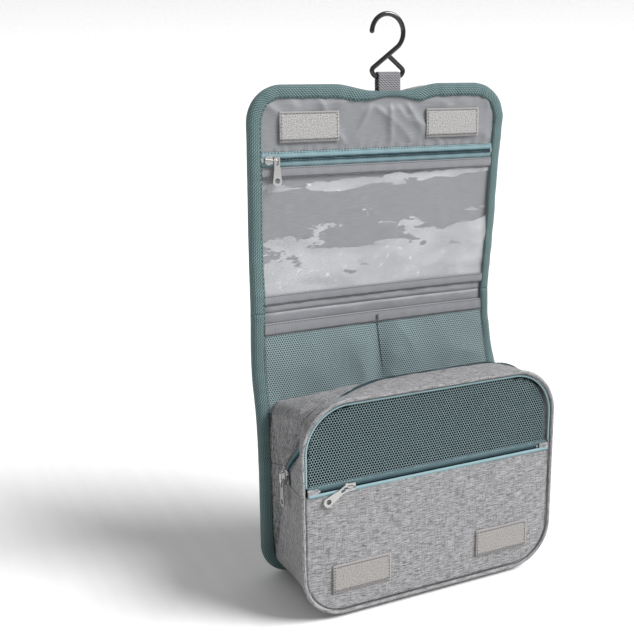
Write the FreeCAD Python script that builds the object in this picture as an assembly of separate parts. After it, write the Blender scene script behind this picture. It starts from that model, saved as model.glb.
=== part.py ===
"""Hanging toiletry bag, unfolded: a wire hook, a bound panel in three folds, and a zipped box pouch.

Row frame in millimetres: +Z up, -Y towards the person who opens the bag, +X to that person's right.
The origin is the centre of the hook's bow, on the axis of the rail that the bag hangs from.
Layers of the panel lie in XZ planes. The hook, flap, bridge, pouch, lid, sliders and pulls are the
moving bodies: the flap folds over the bridge, the bridge over the pouch, and the lid opens forwards.
"""

import FreeCAD, Part
import math
import os

Vector = FreeCAD.Vector

# ---- pouch: the box compartment at the foot of the panel ----
POUCH_WIDTH = 230.0
POUCH_HEIGHT = 172.0
POUCH_DEPTH = 90.0
POUCH_TOP_RADIUS = 38.0
POUCH_BOTTOM_RADIUS = 34.0
POUCH_RISE = 6.0            # pouch floor above the panel's bottom edge
CLOTH = 0.8                 # heathered outer cloth
LINING = 0.5                # nylon lining, net and zip tape
PIPING_DIAMETER = 3.2
PIPING_SIDES = 8            # flats round the piping
BACKING_GAP = 2.6           # between the front cloth and the pocket lining behind it
LID_HINGE_HEIGHT = 91.0     # above the pouch floor: where the front bends when the lid opens
GUSSET_SEAM_RISE = 7.0      # cross seams at the ends of the gusset zip, above that bend
SEAM_GAP = 0.5              # between pieces sewn edge to edge on two bodies

# ---- panel: outer cloth, foam board and lining, bound with webbing ----
PANEL_WIDTH = 240.0
PANEL_TOP_RADIUS = 31.0
PANEL_BOTTOM_RADIUS = 28.0
FOAM = 3.0
POCKET_GAP = 0.7            # slack between the lining and the pockets on it
BINDING_WIDTH = 11.0
BINDING_THICKNESS = 1.0
TOP_DIP = 5.5               # the bound edge dips where the hanging tab pulls on it
DIP_RUN = 37.0              # length of each of the two slopes into the dip
BINDING_RISE = 1.5          # the binding's inner edge rises at the tab
TAB_OFFSET = 6.5            # the tab is sewn this far to the right of the panel's middle
FOLD_GAP = 0.5              # half of the gap between two boards at a fold
FOLD_CLEARANCE = 6.0        # lower fold above the pouch's top
BRIDGE_SLACK = 9.0          # what the bridge is longer than the pouch is deep
FLAP_LENGTH = 130.5         # upper fold to the top of the panel

# ---- pockets on the panel ----
ZIP_DROP = 57.5             # zip centre line below the panel's top
BAND = 8.0                  # bands that hold the window film
BAND_THICKNESS = 0.6
BAND_END_GAP = 0.2          # between the bands or the zip's tape and the binding
WINDOW_FOOT = 35.0          # bottom of the window below the upper fold
HEM_RISE = 30.5             # net pocket's hem above the lower fold
HEM = 10.5
TACK_X = -6.0               # the tack that closes the seam between the two net pockets
PATCH_WIDTH = 52.0
PATCH_HEIGHT = 24.0
PATCH_THICKNESS = 1.6
PATCH_INSET = 48.0          # from the pouch's side to the patch's centre
LOOP_PATCH_DROP = 32.5      # centre below the panel's top
HOOK_PATCH_RISE = 28.0      # centre above the pouch floor

# ---- zips ----
TAPE_HALF = 6.0             # visible half width of a straight zip's tape
COIL_WIDTH = 1.35
COIL_HEIGHT = 1.5
COIL_GAP = 0.3              # half of the slot in which the slider's post runs
FRONT_ZIP_RISE = 12.75      # front pocket zip above the lid's hinge line
FRONT_SLOT = 3.5            # half height of the slot between net and cloth at that zip
FRONT_ZIP_INSET = 11.0      # from the pouch's side to each end of that zip
GUSSET_ZIP_DEPTH = 50.0     # gusset zip in front of the lining
GUSSET_SLOT = 6.0           # half width of the slot in the gusset
STOP_LENGTH = 2.0
SLIDER_LENGTH = 11.0
SLIDER_HEAD = 8.0
SLIDER_TAIL = 6.2
PLATE = 0.9                 # thickness of each of its wings
CHANNEL_GAP = 0.6           # between the coil and the guide flanges
FLANGE_LENGTH = 5.0
POST_LENGTH = 2.2
CROWN_WIRE = 1.2
CROWN_SPAN = 8.4            # between the crown's two posts
CROWN_HEIGHT = 5.0
CROWN_BEND = 1.3
CROWN_SIDES = 6
LAP = 0.1                   # overlap of pieces that are fused
SLIDER_CLEARANCE = 0.1
SLIDER_ROOM = 0.5           # between a slider and the cloth or film beside it
PULL_LENGTH = 23.0
PULL_NECK = 5.0
PULL_FOOT = 8.6
PULL_THICKNESS = 1.0
EYE_LENGTH = 5.4
EYE_WIDTH = 2.6
EYE_BAR = 1.2
PULL_HOLE_RADIUS = 2.1
FRONT_PULL_SWING = 60.0     # the front pull rests swung towards -X, in degrees
GUSSET_PULL_SWING = 0.0     # the gusset pull hangs straight down its zip
FRONT_SLIDER_RUN = 26.0     # the front slider rests this far from the left end of its zip

# ---- hook and tab ----
WIRE = 4.0
WIRE_SIDES = 10             # flats round the wire
BOW_RADIUS = 14.5
BOW_END_ANGLE = -54.0       # where the bow runs straight into the shank
TIP_ANGLE = 184.0
BAR_DROP = 34.4             # bar centre below the bow's centre
BAR_HALF = 12.0
SHOULDER_LEFT = 16.0
SHOULDER_RIGHT = 15.5
SHOULDER_RIGHT_DROP = 30.3
BAR_BEND = 3.0              # centre-line radii of the wire's bends
SHOULDER_BEND = 3.5
JOIN_X = 0.2                # where the short arm is welded to the shank
TAB_WIDTH = 20.2
TAB_THICKNESS = 1.2
TAB_CLEARANCE = 0.35        # round the bar
TAB_REACH = 6.0             # bar centre to the top of the panel

FAR = 1000.0

# ---- levels, all above the panel's bottom edge, and the frame ----
POUCH_TOP = POUCH_RISE + POUCH_HEIGHT
HINGE = POUCH_RISE + LID_HINGE_HEIGHT
GUSSET_SEAM = HINGE + GUSSET_SEAM_RISE
FRONT_ZIP = HINGE + FRONT_ZIP_RISE
LOWER_FOLD = POUCH_TOP + FOLD_CLEARANCE
UPPER_FOLD = LOWER_FOLD + POUCH_DEPTH + BRIDGE_SLACK
PANEL_HEIGHT = UPPER_FOLD + FLAP_LENGTH
ZIP = PANEL_HEIGHT - ZIP_DROP
BASE_Z = -(BAR_DROP + TAB_REACH + PANEL_HEIGHT)

# ---- depths of the panel's layers ----
Y_SHELL_BACK = FOAM / 2 + CLOTH
Y_FOAM_BACK = FOAM / 2
Y_FOAM_FRONT = -FOAM / 2
Y_LINING = Y_FOAM_FRONT - LINING
Y_POCKET_BACK = Y_LINING - POCKET_GAP
Y_POCKET = Y_POCKET_BACK - LINING
Y_BINDING = Y_POCKET - BINDING_THICKNESS
Y_BINDING_BACK = Y_SHELL_BACK + BINDING_THICKNESS
Y_FRONT = -POUCH_DEPTH
Y_FRONT_INSIDE = Y_FRONT + CLOTH
Y_BACKING = Y_FRONT_INSIDE + BACKING_GAP
Y_GUSSET_ZIP = Y_LINING - GUSSET_ZIP_DEPTH
INNER_HALF = PANEL_WIDTH / 2 - BINDING_WIDTH
BAND_HALF = INNER_HALF - BAND_END_GAP

# ---- places across, from the middle of the bag ----
FRONT_ZIP_HALF = POUCH_WIDTH / 2 - FRONT_ZIP_INSET
FRONT_SLIDER_X = FRONT_SLIDER_RUN - FRONT_ZIP_HALF
PATCH_X = POUCH_WIDTH / 2 - PATCH_INSET


def level(height):
    """Z of a height above the panel's bottom edge."""
    return BASE_Z + height


# ---------------------------------------------------------------- outlines and slabs
def at(x, z):
    """A point in the XZ plane."""
    return Vector(x, 0, z)


def line(a, b):
    """Straight edge between two points."""
    return Part.LineSegment(a, b).toShape()


def corner(centre, radius, start, end):
    """Arc in the XZ plane round centre, from angle start to end, in degrees from +X towards +Z."""
    points = [centre + at(radius * math.cos(math.radians(a)), radius * math.sin(math.radians(a)))
              for a in (start, (start + end) / 2, end)]
    return Part.Arc(*points).toShape()


def rounded_edges(half, bottom, top, r_bottom, r_top, foot=None):
    """Edges of a rounded rectangle, clockwise from the left side. With foot, only the arch above it."""
    low = bottom + r_bottom if foot is None else foot
    edges = [line(at(-half, low), at(-half, top - r_top)),
             corner(at(-half + r_top, top - r_top), r_top, 180, 90),
             line(at(-half + r_top, top), at(half - r_top, top)),
             corner(at(half - r_top, top - r_top), r_top, 90, 0),
             line(at(half, top - r_top), at(half, low))]
    if foot is None:
        edges += [corner(at(half - r_bottom, bottom + r_bottom), r_bottom, 0, -90),
                  line(at(half - r_bottom, bottom), at(-half + r_bottom, bottom)),
                  corner(at(-half + r_bottom, bottom + r_bottom), r_bottom, -90, -180)]
    return edges


def pouch_edges(offset):
    """Edges of the pouch's front outline, grown by offset."""
    return rounded_edges(POUCH_WIDTH / 2 + offset, level(POUCH_RISE) - offset, level(POUCH_TOP) + offset,
                         POUCH_BOTTOM_RADIUS + offset, POUCH_TOP_RADIUS + offset)


def pouch_wire(offset=0.0):
    """The pouch's front outline, grown by offset."""
    return Part.Wire(pouch_edges(offset))


def slope(x0, z0, x1, z1):
    """Two equal arcs that join level stretches at (x0, z0) and (x1, z1)."""
    run, fall = x1 - x0, z1 - z0
    radius = (run * run + fall * fall) / (4 * abs(fall))
    turn = math.degrees(math.asin(abs(run) / 2 / radius))
    side = 1 if fall > 0 else -1
    first = at(x0, z0 + side * radius)
    second = at(x1, z1 - side * radius)
    aim = 1 if run > 0 else -1
    start, end = -90 * side, -90 * side + aim * side * turn
    return [corner(first, radius, start, end), corner(second, radius, end + 180, start + 180)]


def panel_wire(inset, centre_rise):
    """The panel's outline, moved in by inset; its top edge is centre_rise higher at the tab."""
    half = PANEL_WIDTH / 2 - inset
    top = level(PANEL_HEIGHT) - inset
    bottom = level(0) + inset
    r_top, r_bottom = PANEL_TOP_RADIUS - inset, PANEL_BOTTOM_RADIUS - inset
    flat = TAB_WIDTH / 2 + 3.0
    outer = flat + DIP_RUN
    edges = rounded_edges(half, bottom, top, r_bottom, r_top)
    middle = top + centre_rise
    x = TAB_OFFSET
    across = [line(at(-half + r_top, top), at(x - outer, top))]
    across += slope(x - outer, top, x - flat, middle)
    across += [line(at(x - flat, middle), at(x + flat, middle))]
    across += slope(x + flat, middle, x + outer, top)
    across += [line(at(x + outer, top), at(half - r_top, top))]
    return Part.Wire(edges[:2] + across + edges[3:])


def slab(wire, y_front, y_back):
    """The outline filled and made y_back - y_front thick."""
    face = Part.Face(wire)
    face.translate(Vector(0, y_front, 0))
    return face.extrude(Vector(0, y_back - y_front, 0))


def block(x0, x1, y0, y1, z0, z1):
    """Box between two corners."""
    return Part.makeBox(x1 - x0, y1 - y0, z1 - z0, Vector(x0, y0, z0))


def between(shape, low, high):
    """The part of shape between two heights."""
    return shape.common(block(-FAR, FAR, -FAR, FAR, level(low), level(high)))


def rod(edges, radius, sides):
    """A wire of many-sided section along straight and arc edges that run on from each other in XZ."""
    pieces = []
    for edge in edges:
        first, last = edge.FirstParameter, edge.LastParameter
        start = edge.valueAt(first)
        across = edge.tangentAt(first).cross(Vector(0, 1, 0))
        ring = [start + Vector(0, radius * math.cos(turn), 0) + across * (radius * math.sin(turn))
                for turn in (2 * math.pi * k / sides for k in range(sides + 1))]
        disc = Part.Face(Part.makePolygon(ring))
        if isinstance(edge.Curve, Part.Circle):
            pieces.append(disc.revolve(edge.Curve.Center, edge.Curve.Axis, math.degrees(last - first)))
        else:
            pieces.append(disc.extrude(edge.valueAt(last) - start))
    return pieces[0].fuse(pieces[1:]).removeSplitter()


def strip(half, y_front, y_back, low, high):
    """A straight strip across the bag, between two heights."""
    return block(-half, half, y_front, y_back, level(low), level(high))


# ---------------------------------------------------------------- panel
FOLDS = (("back", -1.0, LOWER_FOLD - FOLD_GAP),
         ("bridge", LOWER_FOLD + FOLD_GAP, UPPER_FOLD - FOLD_GAP),
         ("flap", UPPER_FOLD + FOLD_GAP, PANEL_HEIGHT + 1.0))


def panel_layers():
    """Outer cloth, foam, lining and binding of each of the panel's three folds."""
    core = panel_wire(BINDING_THICKNESS, -TOP_DIP)
    layers = {"outer_shell": slab(core, Y_FOAM_BACK, Y_SHELL_BACK),
              "foam_board": slab(core, Y_FOAM_FRONT, Y_FOAM_BACK),
              "lining": slab(core, Y_LINING, Y_FOAM_FRONT)}
    rim = slab(panel_wire(0, -TOP_DIP), Y_BINDING, Y_BINDING_BACK)
    rim = rim.cut(slab(core, Y_POCKET, Y_SHELL_BACK))
    layers["binding"] = rim.cut(slab(panel_wire(BINDING_WIDTH, BINDING_RISE), Y_BINDING, Y_BINDING_BACK))
    return {f"{name}_{fold}": between(shape, low, high)
            for name, shape in layers.items() for fold, low, high in FOLDS}


def header_panel():
    """Lining cloth above the panel's zip, with the slider's slot left open below it."""
    return between(slab(panel_wire(BINDING_THICKNESS, -TOP_DIP), Y_POCKET, Y_POCKET_BACK),
                   ZIP + SLIDER_HEAD / 2 + SLIDER_ROOM, PANEL_HEIGHT + 1)


def band(low, height):
    """A cloth band sewn over the pockets, from one binding to the other."""
    return strip(BAND_HALF, Y_POCKET - BAND_THICKNESS, Y_POCKET, low, low + height)


def window():
    """Clear film in two bending lengths, and the cloth bands that hold its edges."""
    half = PANEL_WIDTH / 2 - BINDING_THICKNESS
    foot = UPPER_FOLD - WINDOW_FOOT
    top_edge = ZIP - TAPE_HALF
    return {
        "window_film_flap": strip(half, Y_POCKET, Y_POCKET_BACK,
                                  UPPER_FOLD + FOLD_GAP, ZIP - SLIDER_HEAD / 2 - SLIDER_ROOM),
        "window_film_bridge": strip(half, Y_POCKET, Y_POCKET_BACK, foot - BAND / 2, UPPER_FOLD - FOLD_GAP),
        "window_band_top": band(top_edge - BAND, BAND),
        "window_band_bottom": band(foot - BAND, BAND),
    }


def net_pocket():
    """Net pocket on the bridge, with its cloth hem."""
    hem = LOWER_FOLD + HEM_RISE
    tack_front = Y_POCKET - BAND_THICKNESS
    return {
        "mesh_pocket_tack": block(TACK_X - 1.2, TACK_X + 1.2, tack_front - 0.4, tack_front,
                                  level(hem + 1), level(hem + HEM - 1)),
        "mesh_pocket": strip(PANEL_WIDTH / 2 - BINDING_THICKNESS, Y_POCKET, Y_POCKET_BACK,
                             LOWER_FOLD + 2, hem + HEM / 2),
        "mesh_pocket_hem": band(hem, HEM),
    }


def patch(x, y_back, centre):
    """One half of a touch fastener: a flat rectangle with its long edges rounded over."""
    body = block(x - PATCH_WIDTH / 2, x + PATCH_WIDTH / 2, y_back - PATCH_THICKNESS, y_back,
                 level(centre - PATCH_HEIGHT / 2), level(centre + PATCH_HEIGHT / 2))
    rim = [e for e in body.Edges if e.BoundBox.YMax < y_back - PATCH_THICKNESS / 2]
    return body.makeChamfer(PATCH_THICKNESS / 3, rim)


# ---------------------------------------------------------------- straight zips
def straight_zip(prefix, half, y_tape, centre, reach):
    """Two tapes with a row of coil each, and the two end stops. y_tape is the tapes' front face."""
    low, high = centre - COIL_GAP, centre + COIL_GAP
    coil_front = y_tape - COIL_HEIGHT
    end = half - STOP_LENGTH - 0.5
    coils = [strip(end, coil_front, y_tape, low - COIL_WIDTH, low),
             strip(end, coil_front, y_tape, high, high + COIL_WIDTH)]
    coils = [c.makeChamfer(0.4, [e for e in c.Edges if e.BoundBox.YMax < y_tape - 0.1 and e.Length > half])
             for c in coils]
    stop = [block(x0, x0 + STOP_LENGTH, y_tape - 1, y_tape, level(low - COIL_WIDTH), level(high + COIL_WIDTH))
            for x0 in (-half, half - STOP_LENGTH)]
    return {
        f"{prefix}_zip_tape_upper": strip(half, y_tape, y_tape + LINING, high, centre + reach),
        f"{prefix}_zip_tape_lower": strip(half, y_tape, y_tape + LINING, centre - reach, low),
        f"{prefix}_zip_coils": Part.makeCompound(coils),
        f"{prefix}_zip_stops": Part.makeCompound(stop),
    }


# ---------------------------------------------------------------- slider and pull, in their own frame
# Local frame: x along the zip, y across it, z out of the tape. The tape's face is z = 0.
def plate(head, tail, z_low, z_high):
    """One shield-shaped wing of a slider, broad at the head."""
    length = SLIDER_LENGTH
    half_outline = [(-length / 2, tail / 2), (0, tail / 2), (length / 4, head / 2), (length / 2, head / 4)]
    points = [Vector(x, -y, z_low) for x, y in half_outline]
    points += [Vector(x, y, z_low) for x, y in half_outline[::-1]]
    body = Part.Face(Part.makePolygon(points + points[:1])).extrude(Vector(0, 0, z_high - z_low))
    upright = [e for e in body.Edges if e.BoundBox.ZLength > (z_high - z_low) * 0.9]
    return body.makeChamfer(0.5, upright)


def slider():
    """Slider body: two wings, curled guide flanges, the post that parts the coils, and the crown."""
    top = COIL_HEIGHT + SLIDER_CLEARANCE
    under = -LINING - SLIDER_CLEARANCE
    upper = plate(SLIDER_HEAD, SLIDER_TAIL, top, top + PLATE)
    lower = plate(SLIDER_HEAD, SLIDER_TAIL, under - PLATE, under)
    channel = COIL_GAP + COIL_WIDTH + CHANNEL_GAP
    lift = 2 * SLIDER_CLEARANCE
    flanges = [Part.makeBox(FLANGE_LENGTH, SLIDER_TAIL / 2 - channel, top - lift + LAP,
                            Vector(-SLIDER_LENGTH / 2 + lift, y, lift))
               for y in (channel, -SLIDER_TAIL / 2)]
    half_post = COIL_GAP - SLIDER_CLEARANCE
    post = Part.makeBox(POST_LENGTH, 2 * half_post, top - under + 2 * LAP,
                        Vector(SLIDER_LENGTH / 4, -half_post, under - LAP))
    body = upper.fuse([lower, post] + flanges)
    return body.fuse(crown(top + PLATE)).removeSplitter()


def crown(seat):
    """Wire arch over the slider, along the zip, in which the pull hangs."""
    x = CROWN_SPAN / 2
    bend = CROWN_BEND
    rise = CROWN_HEIGHT - bend
    foot = seat - PLATE / 2
    edges = [line(at(-x, foot), at(-x, rise)),
             corner(at(-x + bend, rise), bend, 180, 90),
             line(at(-x + bend, CROWN_HEIGHT), at(x - bend, CROWN_HEIGHT)),
             corner(at(x - bend, rise), bend, 90, 0),
             line(at(x, rise), at(x, foot))]
    return rod(edges, CROWN_WIRE / 2, CROWN_SIDES)


PULL_Z = (COIL_HEIGHT + SLIDER_CLEARANCE + PLATE + CROWN_HEIGHT - CROWN_WIRE / 2) / 2


def pull():
    """Pull tab in its own frame: pivot at the origin, hanging along -y, flat in z = 0."""
    top = EYE_WIDTH / 2 + EYE_BAR
    foot = top - PULL_LENGTH
    neck, half = PULL_NECK / 2, PULL_FOOT / 2
    low = -PULL_THICKNESS / 2
    points = [Vector(x, y, low) for x, y in ((-neck, top), (neck, top), (neck, -EYE_LENGTH), (half, foot),
                                             (-half, foot), (-neck, -EYE_LENGTH))]
    body = Part.Face(Part.makePolygon(points + points[:1])).extrude(Vector(0, 0, PULL_THICKNESS))

    def upright(y):
        """The body's edges through the plate at one height."""
        return [e for e in body.Edges
                if e.BoundBox.ZLength > PULL_THICKNESS / 2 and abs(e.CenterOfMass.y - y) < 0.01]

    body = body.makeFillet(half * 0.8, upright(foot))
    body = body.makeFillet(1.0, upright(top))
    eye = Part.makeBox(EYE_WIDTH, EYE_LENGTH, 2, Vector(-EYE_WIDTH / 2, EYE_WIDTH / 2 - EYE_LENGTH, -1))
    eye = eye.makeFillet(EYE_WIDTH / 2 - 0.1, [e for e in eye.Edges if e.BoundBox.ZLength > 1])
    hole = Part.makeCylinder(PULL_HOLE_RADIUS, 2, Vector(0, foot + half, -1))
    return body.cut(eye.fuse(hole))


def frame_matrix(x_to, y_to, z_to, place):
    """Turns local axes into the given row directions and moves the local origin to place."""
    return FreeCAD.Matrix(x_to.x, y_to.x, z_to.x, place.x,
                          x_to.y, y_to.y, z_to.y, place.y,
                          x_to.z, y_to.z, z_to.z, place.z, 0, 0, 0, 1)


def placed(shape, matrix):
    """A copy of the shape in the frame that the matrix gives."""
    return shape.transformShape(matrix, True)


def front_facing(x, y_tape, height, side=1):
    """Matrix that lays a local zip part on a tape facing -Y, its x along +X, or along -X when side is -1."""
    place = Vector(x, y_tape, level(height))
    return frame_matrix(Vector(side, 0, 0), Vector(0, 0, side), Vector(0, -1, 0), place)


def hanging_pull(slider_x, y_tape, height, post_side, swing):
    """A pull whose eye is round one of the crown's posts, hanging down and swung by so many degrees."""
    shape = pull()
    shape.rotate(Vector(0, 0, 0), Vector(0, 0, 1), swing)
    x = slider_x + post_side * CROWN_SPAN / 2
    return placed(shape, front_facing(x, y_tape - PULL_Z, height))


def gusset_facing(height):
    """Matrix that lays a local zip part on the gusset's left side, its x along +Z."""
    place = Vector(-POUCH_WIDTH / 2 + CLOTH, Y_GUSSET_ZIP, level(height))
    return frame_matrix(Vector(0, 0, 1), Vector(0, 1, 0), Vector(-1, 0, 0), place)


def sliders():
    """The three sliders and their pulls, each at the left or lower end of its zip."""
    flap_x = -INNER_HALF + STOP_LENGTH + SLIDER_LENGTH / 2 + 0.7
    gusset_height = GUSSET_SEAM + SLIDER_LENGTH / 2 + 0.8
    lying = pull()
    lying.rotate(Vector(0, 0, 0), Vector(0, 0, 1), GUSSET_PULL_SWING - 90)
    lying.translate(Vector(-CROWN_SPAN / 2, 0, PULL_Z))
    return {
        "flap_slider": placed(slider(), front_facing(flap_x, Y_POCKET - LINING, ZIP, -1)),
        "flap_pull": hanging_pull(flap_x, Y_POCKET - LINING, ZIP, 1, 0),
        "front_slider": placed(slider(), front_facing(FRONT_SLIDER_X, Y_FRONT_INSIDE, FRONT_ZIP, -1)),
        "front_pull": hanging_pull(FRONT_SLIDER_X, Y_FRONT_INSIDE, FRONT_ZIP, -1, -FRONT_PULL_SWING),
        "gusset_slider": placed(slider(), gusset_facing(gusset_height)),
        "gusset_pull": placed(lying, gusset_facing(gusset_height)),
    }


# ---------------------------------------------------------------- pouch
def wall(outside, inside, y_front, y_back):
    """A band that follows the pouch's outline, between two offsets from it."""
    return slab(pouch_wire(outside), y_front, y_back).cut(slab(pouch_wire(inside), y_front, y_back))


def gusset():
    """The walls round the pouch: a full-depth band below the seam, and two bands with a zip between above."""
    zip_rear, zip_front = Y_GUSSET_ZIP + COIL_GAP, Y_GUSSET_ZIP - COIL_GAP
    above, top = GUSSET_SEAM, POUCH_TOP + 10
    tape_out, tape_in = -CLOTH, -CLOTH - LINING
    slot = GUSSET_SLOT
    coil_start = GUSSET_SEAM + SLIDER_LENGTH + 2
    rim = slab(panel_wire(-1, -TOP_DIP), Y_BINDING, 0)
    rim = rim.cut(slab(panel_wire(BINDING_WIDTH, BINDING_RISE), Y_BINDING, 0))
    bend = strip(FAR, Y_FRONT, Y_FRONT_INSIDE + SEAM_GAP, HINGE, GUSSET_SEAM)
    away = rim.fuse(bend)

    def below(outside, inside):
        """The full-depth band under the cross seams."""
        return between(wall(outside, inside, Y_FRONT_INSIDE, Y_LINING), 0, above - SEAM_GAP).cut(away)

    coil_out = tape_out + COIL_HEIGHT
    return {
        "gusset_bottom": below(0, -CLOTH),
        "gusset_lining": below(tape_out, tape_in),
        "gusset_rear": between(wall(0, -CLOTH, Y_GUSSET_ZIP + slot, Y_LINING), above, top).cut(rim),
        "gusset_front": between(wall(0, -CLOTH, Y_FRONT_INSIDE, Y_GUSSET_ZIP - slot), above, top),
        "gusset_tape_rear": between(wall(tape_out, tape_in, zip_rear, zip_rear + slot + 4), above, top),
        "gusset_tape_front": between(wall(tape_out, tape_in, zip_front - slot - 4, zip_front), above, top),
        "gusset_coil_rear": between(wall(coil_out, tape_out, zip_rear, zip_rear + COIL_WIDTH),
                                    coil_start, top),
        "gusset_coil_front": between(wall(coil_out, tape_out, zip_front - COIL_WIDTH, zip_front),
                                     coil_start, top),
    }


def front():
    """The pouch's front: cloth below, net above, a trim round the net and a pocket lining behind."""
    mesh_low = FRONT_ZIP + FRONT_SLOT
    lip_top = FRONT_ZIP - FRONT_SLOT
    cloth = slab(pouch_wire(), Y_FRONT, Y_FRONT_INSIDE)
    net_back = Y_FRONT_INSIDE
    net = between(slab(pouch_wire(), net_back - LINING, net_back), lip_top, POUCH_TOP + 1)
    slot = block(-FRONT_ZIP_HALF, FRONT_ZIP_HALF, -FAR, FAR, level(lip_top) - 1, level(mesh_low))
    trim = slab(pouch_wire(), net_back - 2 * LINING, net_back - LINING)
    trim = trim.cut(slab(pouch_wire(-5.5), -FAR, FAR))
    backing = slab(pouch_wire(-CLOTH - LINING - SEAM_GAP), Y_BACKING, Y_BACKING + LINING)
    return {
        "front_panel": between(cloth, 0, HINGE - SEAM_GAP / 2),
        "front_panel_lip": between(cloth, HINGE + SEAM_GAP / 2, lip_top),
        "front_mesh": net.cut(slot),
        "front_mesh_trim": between(trim, mesh_low, POUCH_TOP + 1),
        "front_lining_lower": between(backing, 0, HINGE - SEAM_GAP / 2),
        "front_lining_upper": between(backing, HINGE + SEAM_GAP / 2, POUCH_TOP + 1),
    }


def piping():
    """Round piping in the front seam, cut where the lid bends."""
    r = PIPING_DIAMETER / 2
    off = r + 0.05
    y = Y_FRONT + CLOTH / 2
    path = pouch_edges(off)
    for edge in path:
        edge.translate(Vector(0, y, 0))
    whole = rod(path, r, PIPING_SIDES)
    return {"piping_lower": between(whole, 0, HINGE - SEAM_GAP),
            "piping_upper": between(whole, GUSSET_SEAM, POUCH_TOP + 10)}


# ---------------------------------------------------------------- hook and tab
def bent_path(points, radii):
    """Edges along points in the XZ plane, each inner point rounded by its radius."""
    edges, here = [], points[0]
    for before, point, after, radius in zip(points, points[1:], points[2:], radii):
        u, v = (before - point).normalize(), (after - point).normalize()
        reach = radius / math.tan(u.getAngle(v) / 2)
        a, b = point + u * reach, point + v * reach
        centre = point + (u + v).normalize() * (radius / math.sin(u.getAngle(v) / 2))
        middle = centre + (point - centre).normalize() * radius
        edges += [line(here, a), Part.Arc(a, middle, b).toShape()]
        here = b
    return edges + [line(here, points[-1])]


def hook():
    """Wire hook: bow and shank in one bend down to the bar, and a short arm welded back to the shank."""
    end = math.radians(BOW_END_ANGLE)
    bow_end = at(BOW_RADIUS * math.cos(end), BOW_RADIUS * math.sin(end))
    along = at(math.sin(end), -math.cos(end))
    shoulder = bow_end + along * ((bow_end.x + SHOULDER_LEFT) / -along.x)
    join = bow_end + along * ((bow_end.x - JOIN_X) / -along.x)
    bar = -BAR_DROP
    bow = corner(at(0, 0), BOW_RADIUS, TIP_ANGLE, BOW_END_ANGLE)
    shank = bent_path([bow_end, shoulder, at(-BAR_HALF, bar), at(0, bar)], [SHOULDER_BEND, BAR_BEND])
    arm = bent_path([at(0, bar), at(BAR_HALF, bar), at(SHOULDER_RIGHT, -SHOULDER_RIGHT_DROP), join],
                    [BAR_BEND, SHOULDER_BEND])
    tip = math.radians(TIP_ANGLE)
    tip_at = at(BOW_RADIUS * math.cos(tip), BOW_RADIUS * math.sin(tip))
    nose = Part.makeCone(WIRE * 0.48, WIRE * 0.3, WIRE * 0.25, tip_at, at(-math.sin(tip), math.cos(tip)))
    return rod([bow] + shank, WIRE / 2, WIRE_SIDES).fuse([rod(arm, WIRE / 2, WIRE_SIDES), nose])


def hanging_tab():
    """Webbing folded round the hook's bar, its two legs sewn to the panel's bound edge."""
    foot = level(PANEL_HEIGHT - TOP_DIP)
    x = -TAB_WIDTH / 2

    def arch(radius, end):
        """Filled arch round the bar on two straight legs down to end."""
        front, back = Vector(x, -radius, -BAR_DROP), Vector(x, radius, -BAR_DROP)
        top = Vector(x, 0, -BAR_DROP + radius)
        down = Vector(0, 0, end + BAR_DROP)
        edges = [line(front + down, front), Part.Arc(front, top, back).toShape(),
                 line(back, back + down), line(back + down, front + down)]
        return Part.Face(Part.Wire(edges)).extrude(Vector(TAB_WIDTH, 0, 0))

    inner = WIRE / 2 + TAB_CLEARANCE
    return arch(inner + TAB_THICKNESS, foot).cut(arch(inner, foot - 1))


# ---------------------------------------------------------------- assembly
def build():
    """Every node of the bag by name."""
    nodes = panel_layers()
    nodes["header_panel"] = header_panel()
    nodes.update(window())
    nodes.update(net_pocket())
    nodes.update(straight_zip("flap", BAND_HALF, Y_POCKET - LINING, ZIP, TAPE_HALF))
    nodes.update(straight_zip("front", FRONT_ZIP_HALF, Y_FRONT_INSIDE, FRONT_ZIP, 2 * FRONT_SLOT))
    nodes.update(gusset())
    nodes.update(front())
    nodes.update(piping())
    nodes.update(sliders())
    for side, sign in (("left", -1), ("right", 1)):
        nodes[f"loop_patch_{side}"] = patch(sign * PATCH_X, Y_POCKET, PANEL_HEIGHT - LOOP_PATCH_DROP)
        nodes[f"hook_patch_{side}"] = patch(sign * PATCH_X, Y_FRONT, POUCH_RISE + HOOK_PATCH_RISE)
    for shape in nodes.values():
        shape.translate(Vector(-TAB_OFFSET, 0, 0))
    nodes.update(hook=hook(), hanging_tab=hanging_tab())
    return nodes


os.makedirs("parts", exist_ok=True)
for name, shape in sorted(build().items()):
    assert shape.isValid() and shape.Solids and all(s.Volume > 0 for s in shape.Solids), name
    shape.exportStep(os.path.join("parts", name + ".step"))
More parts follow.
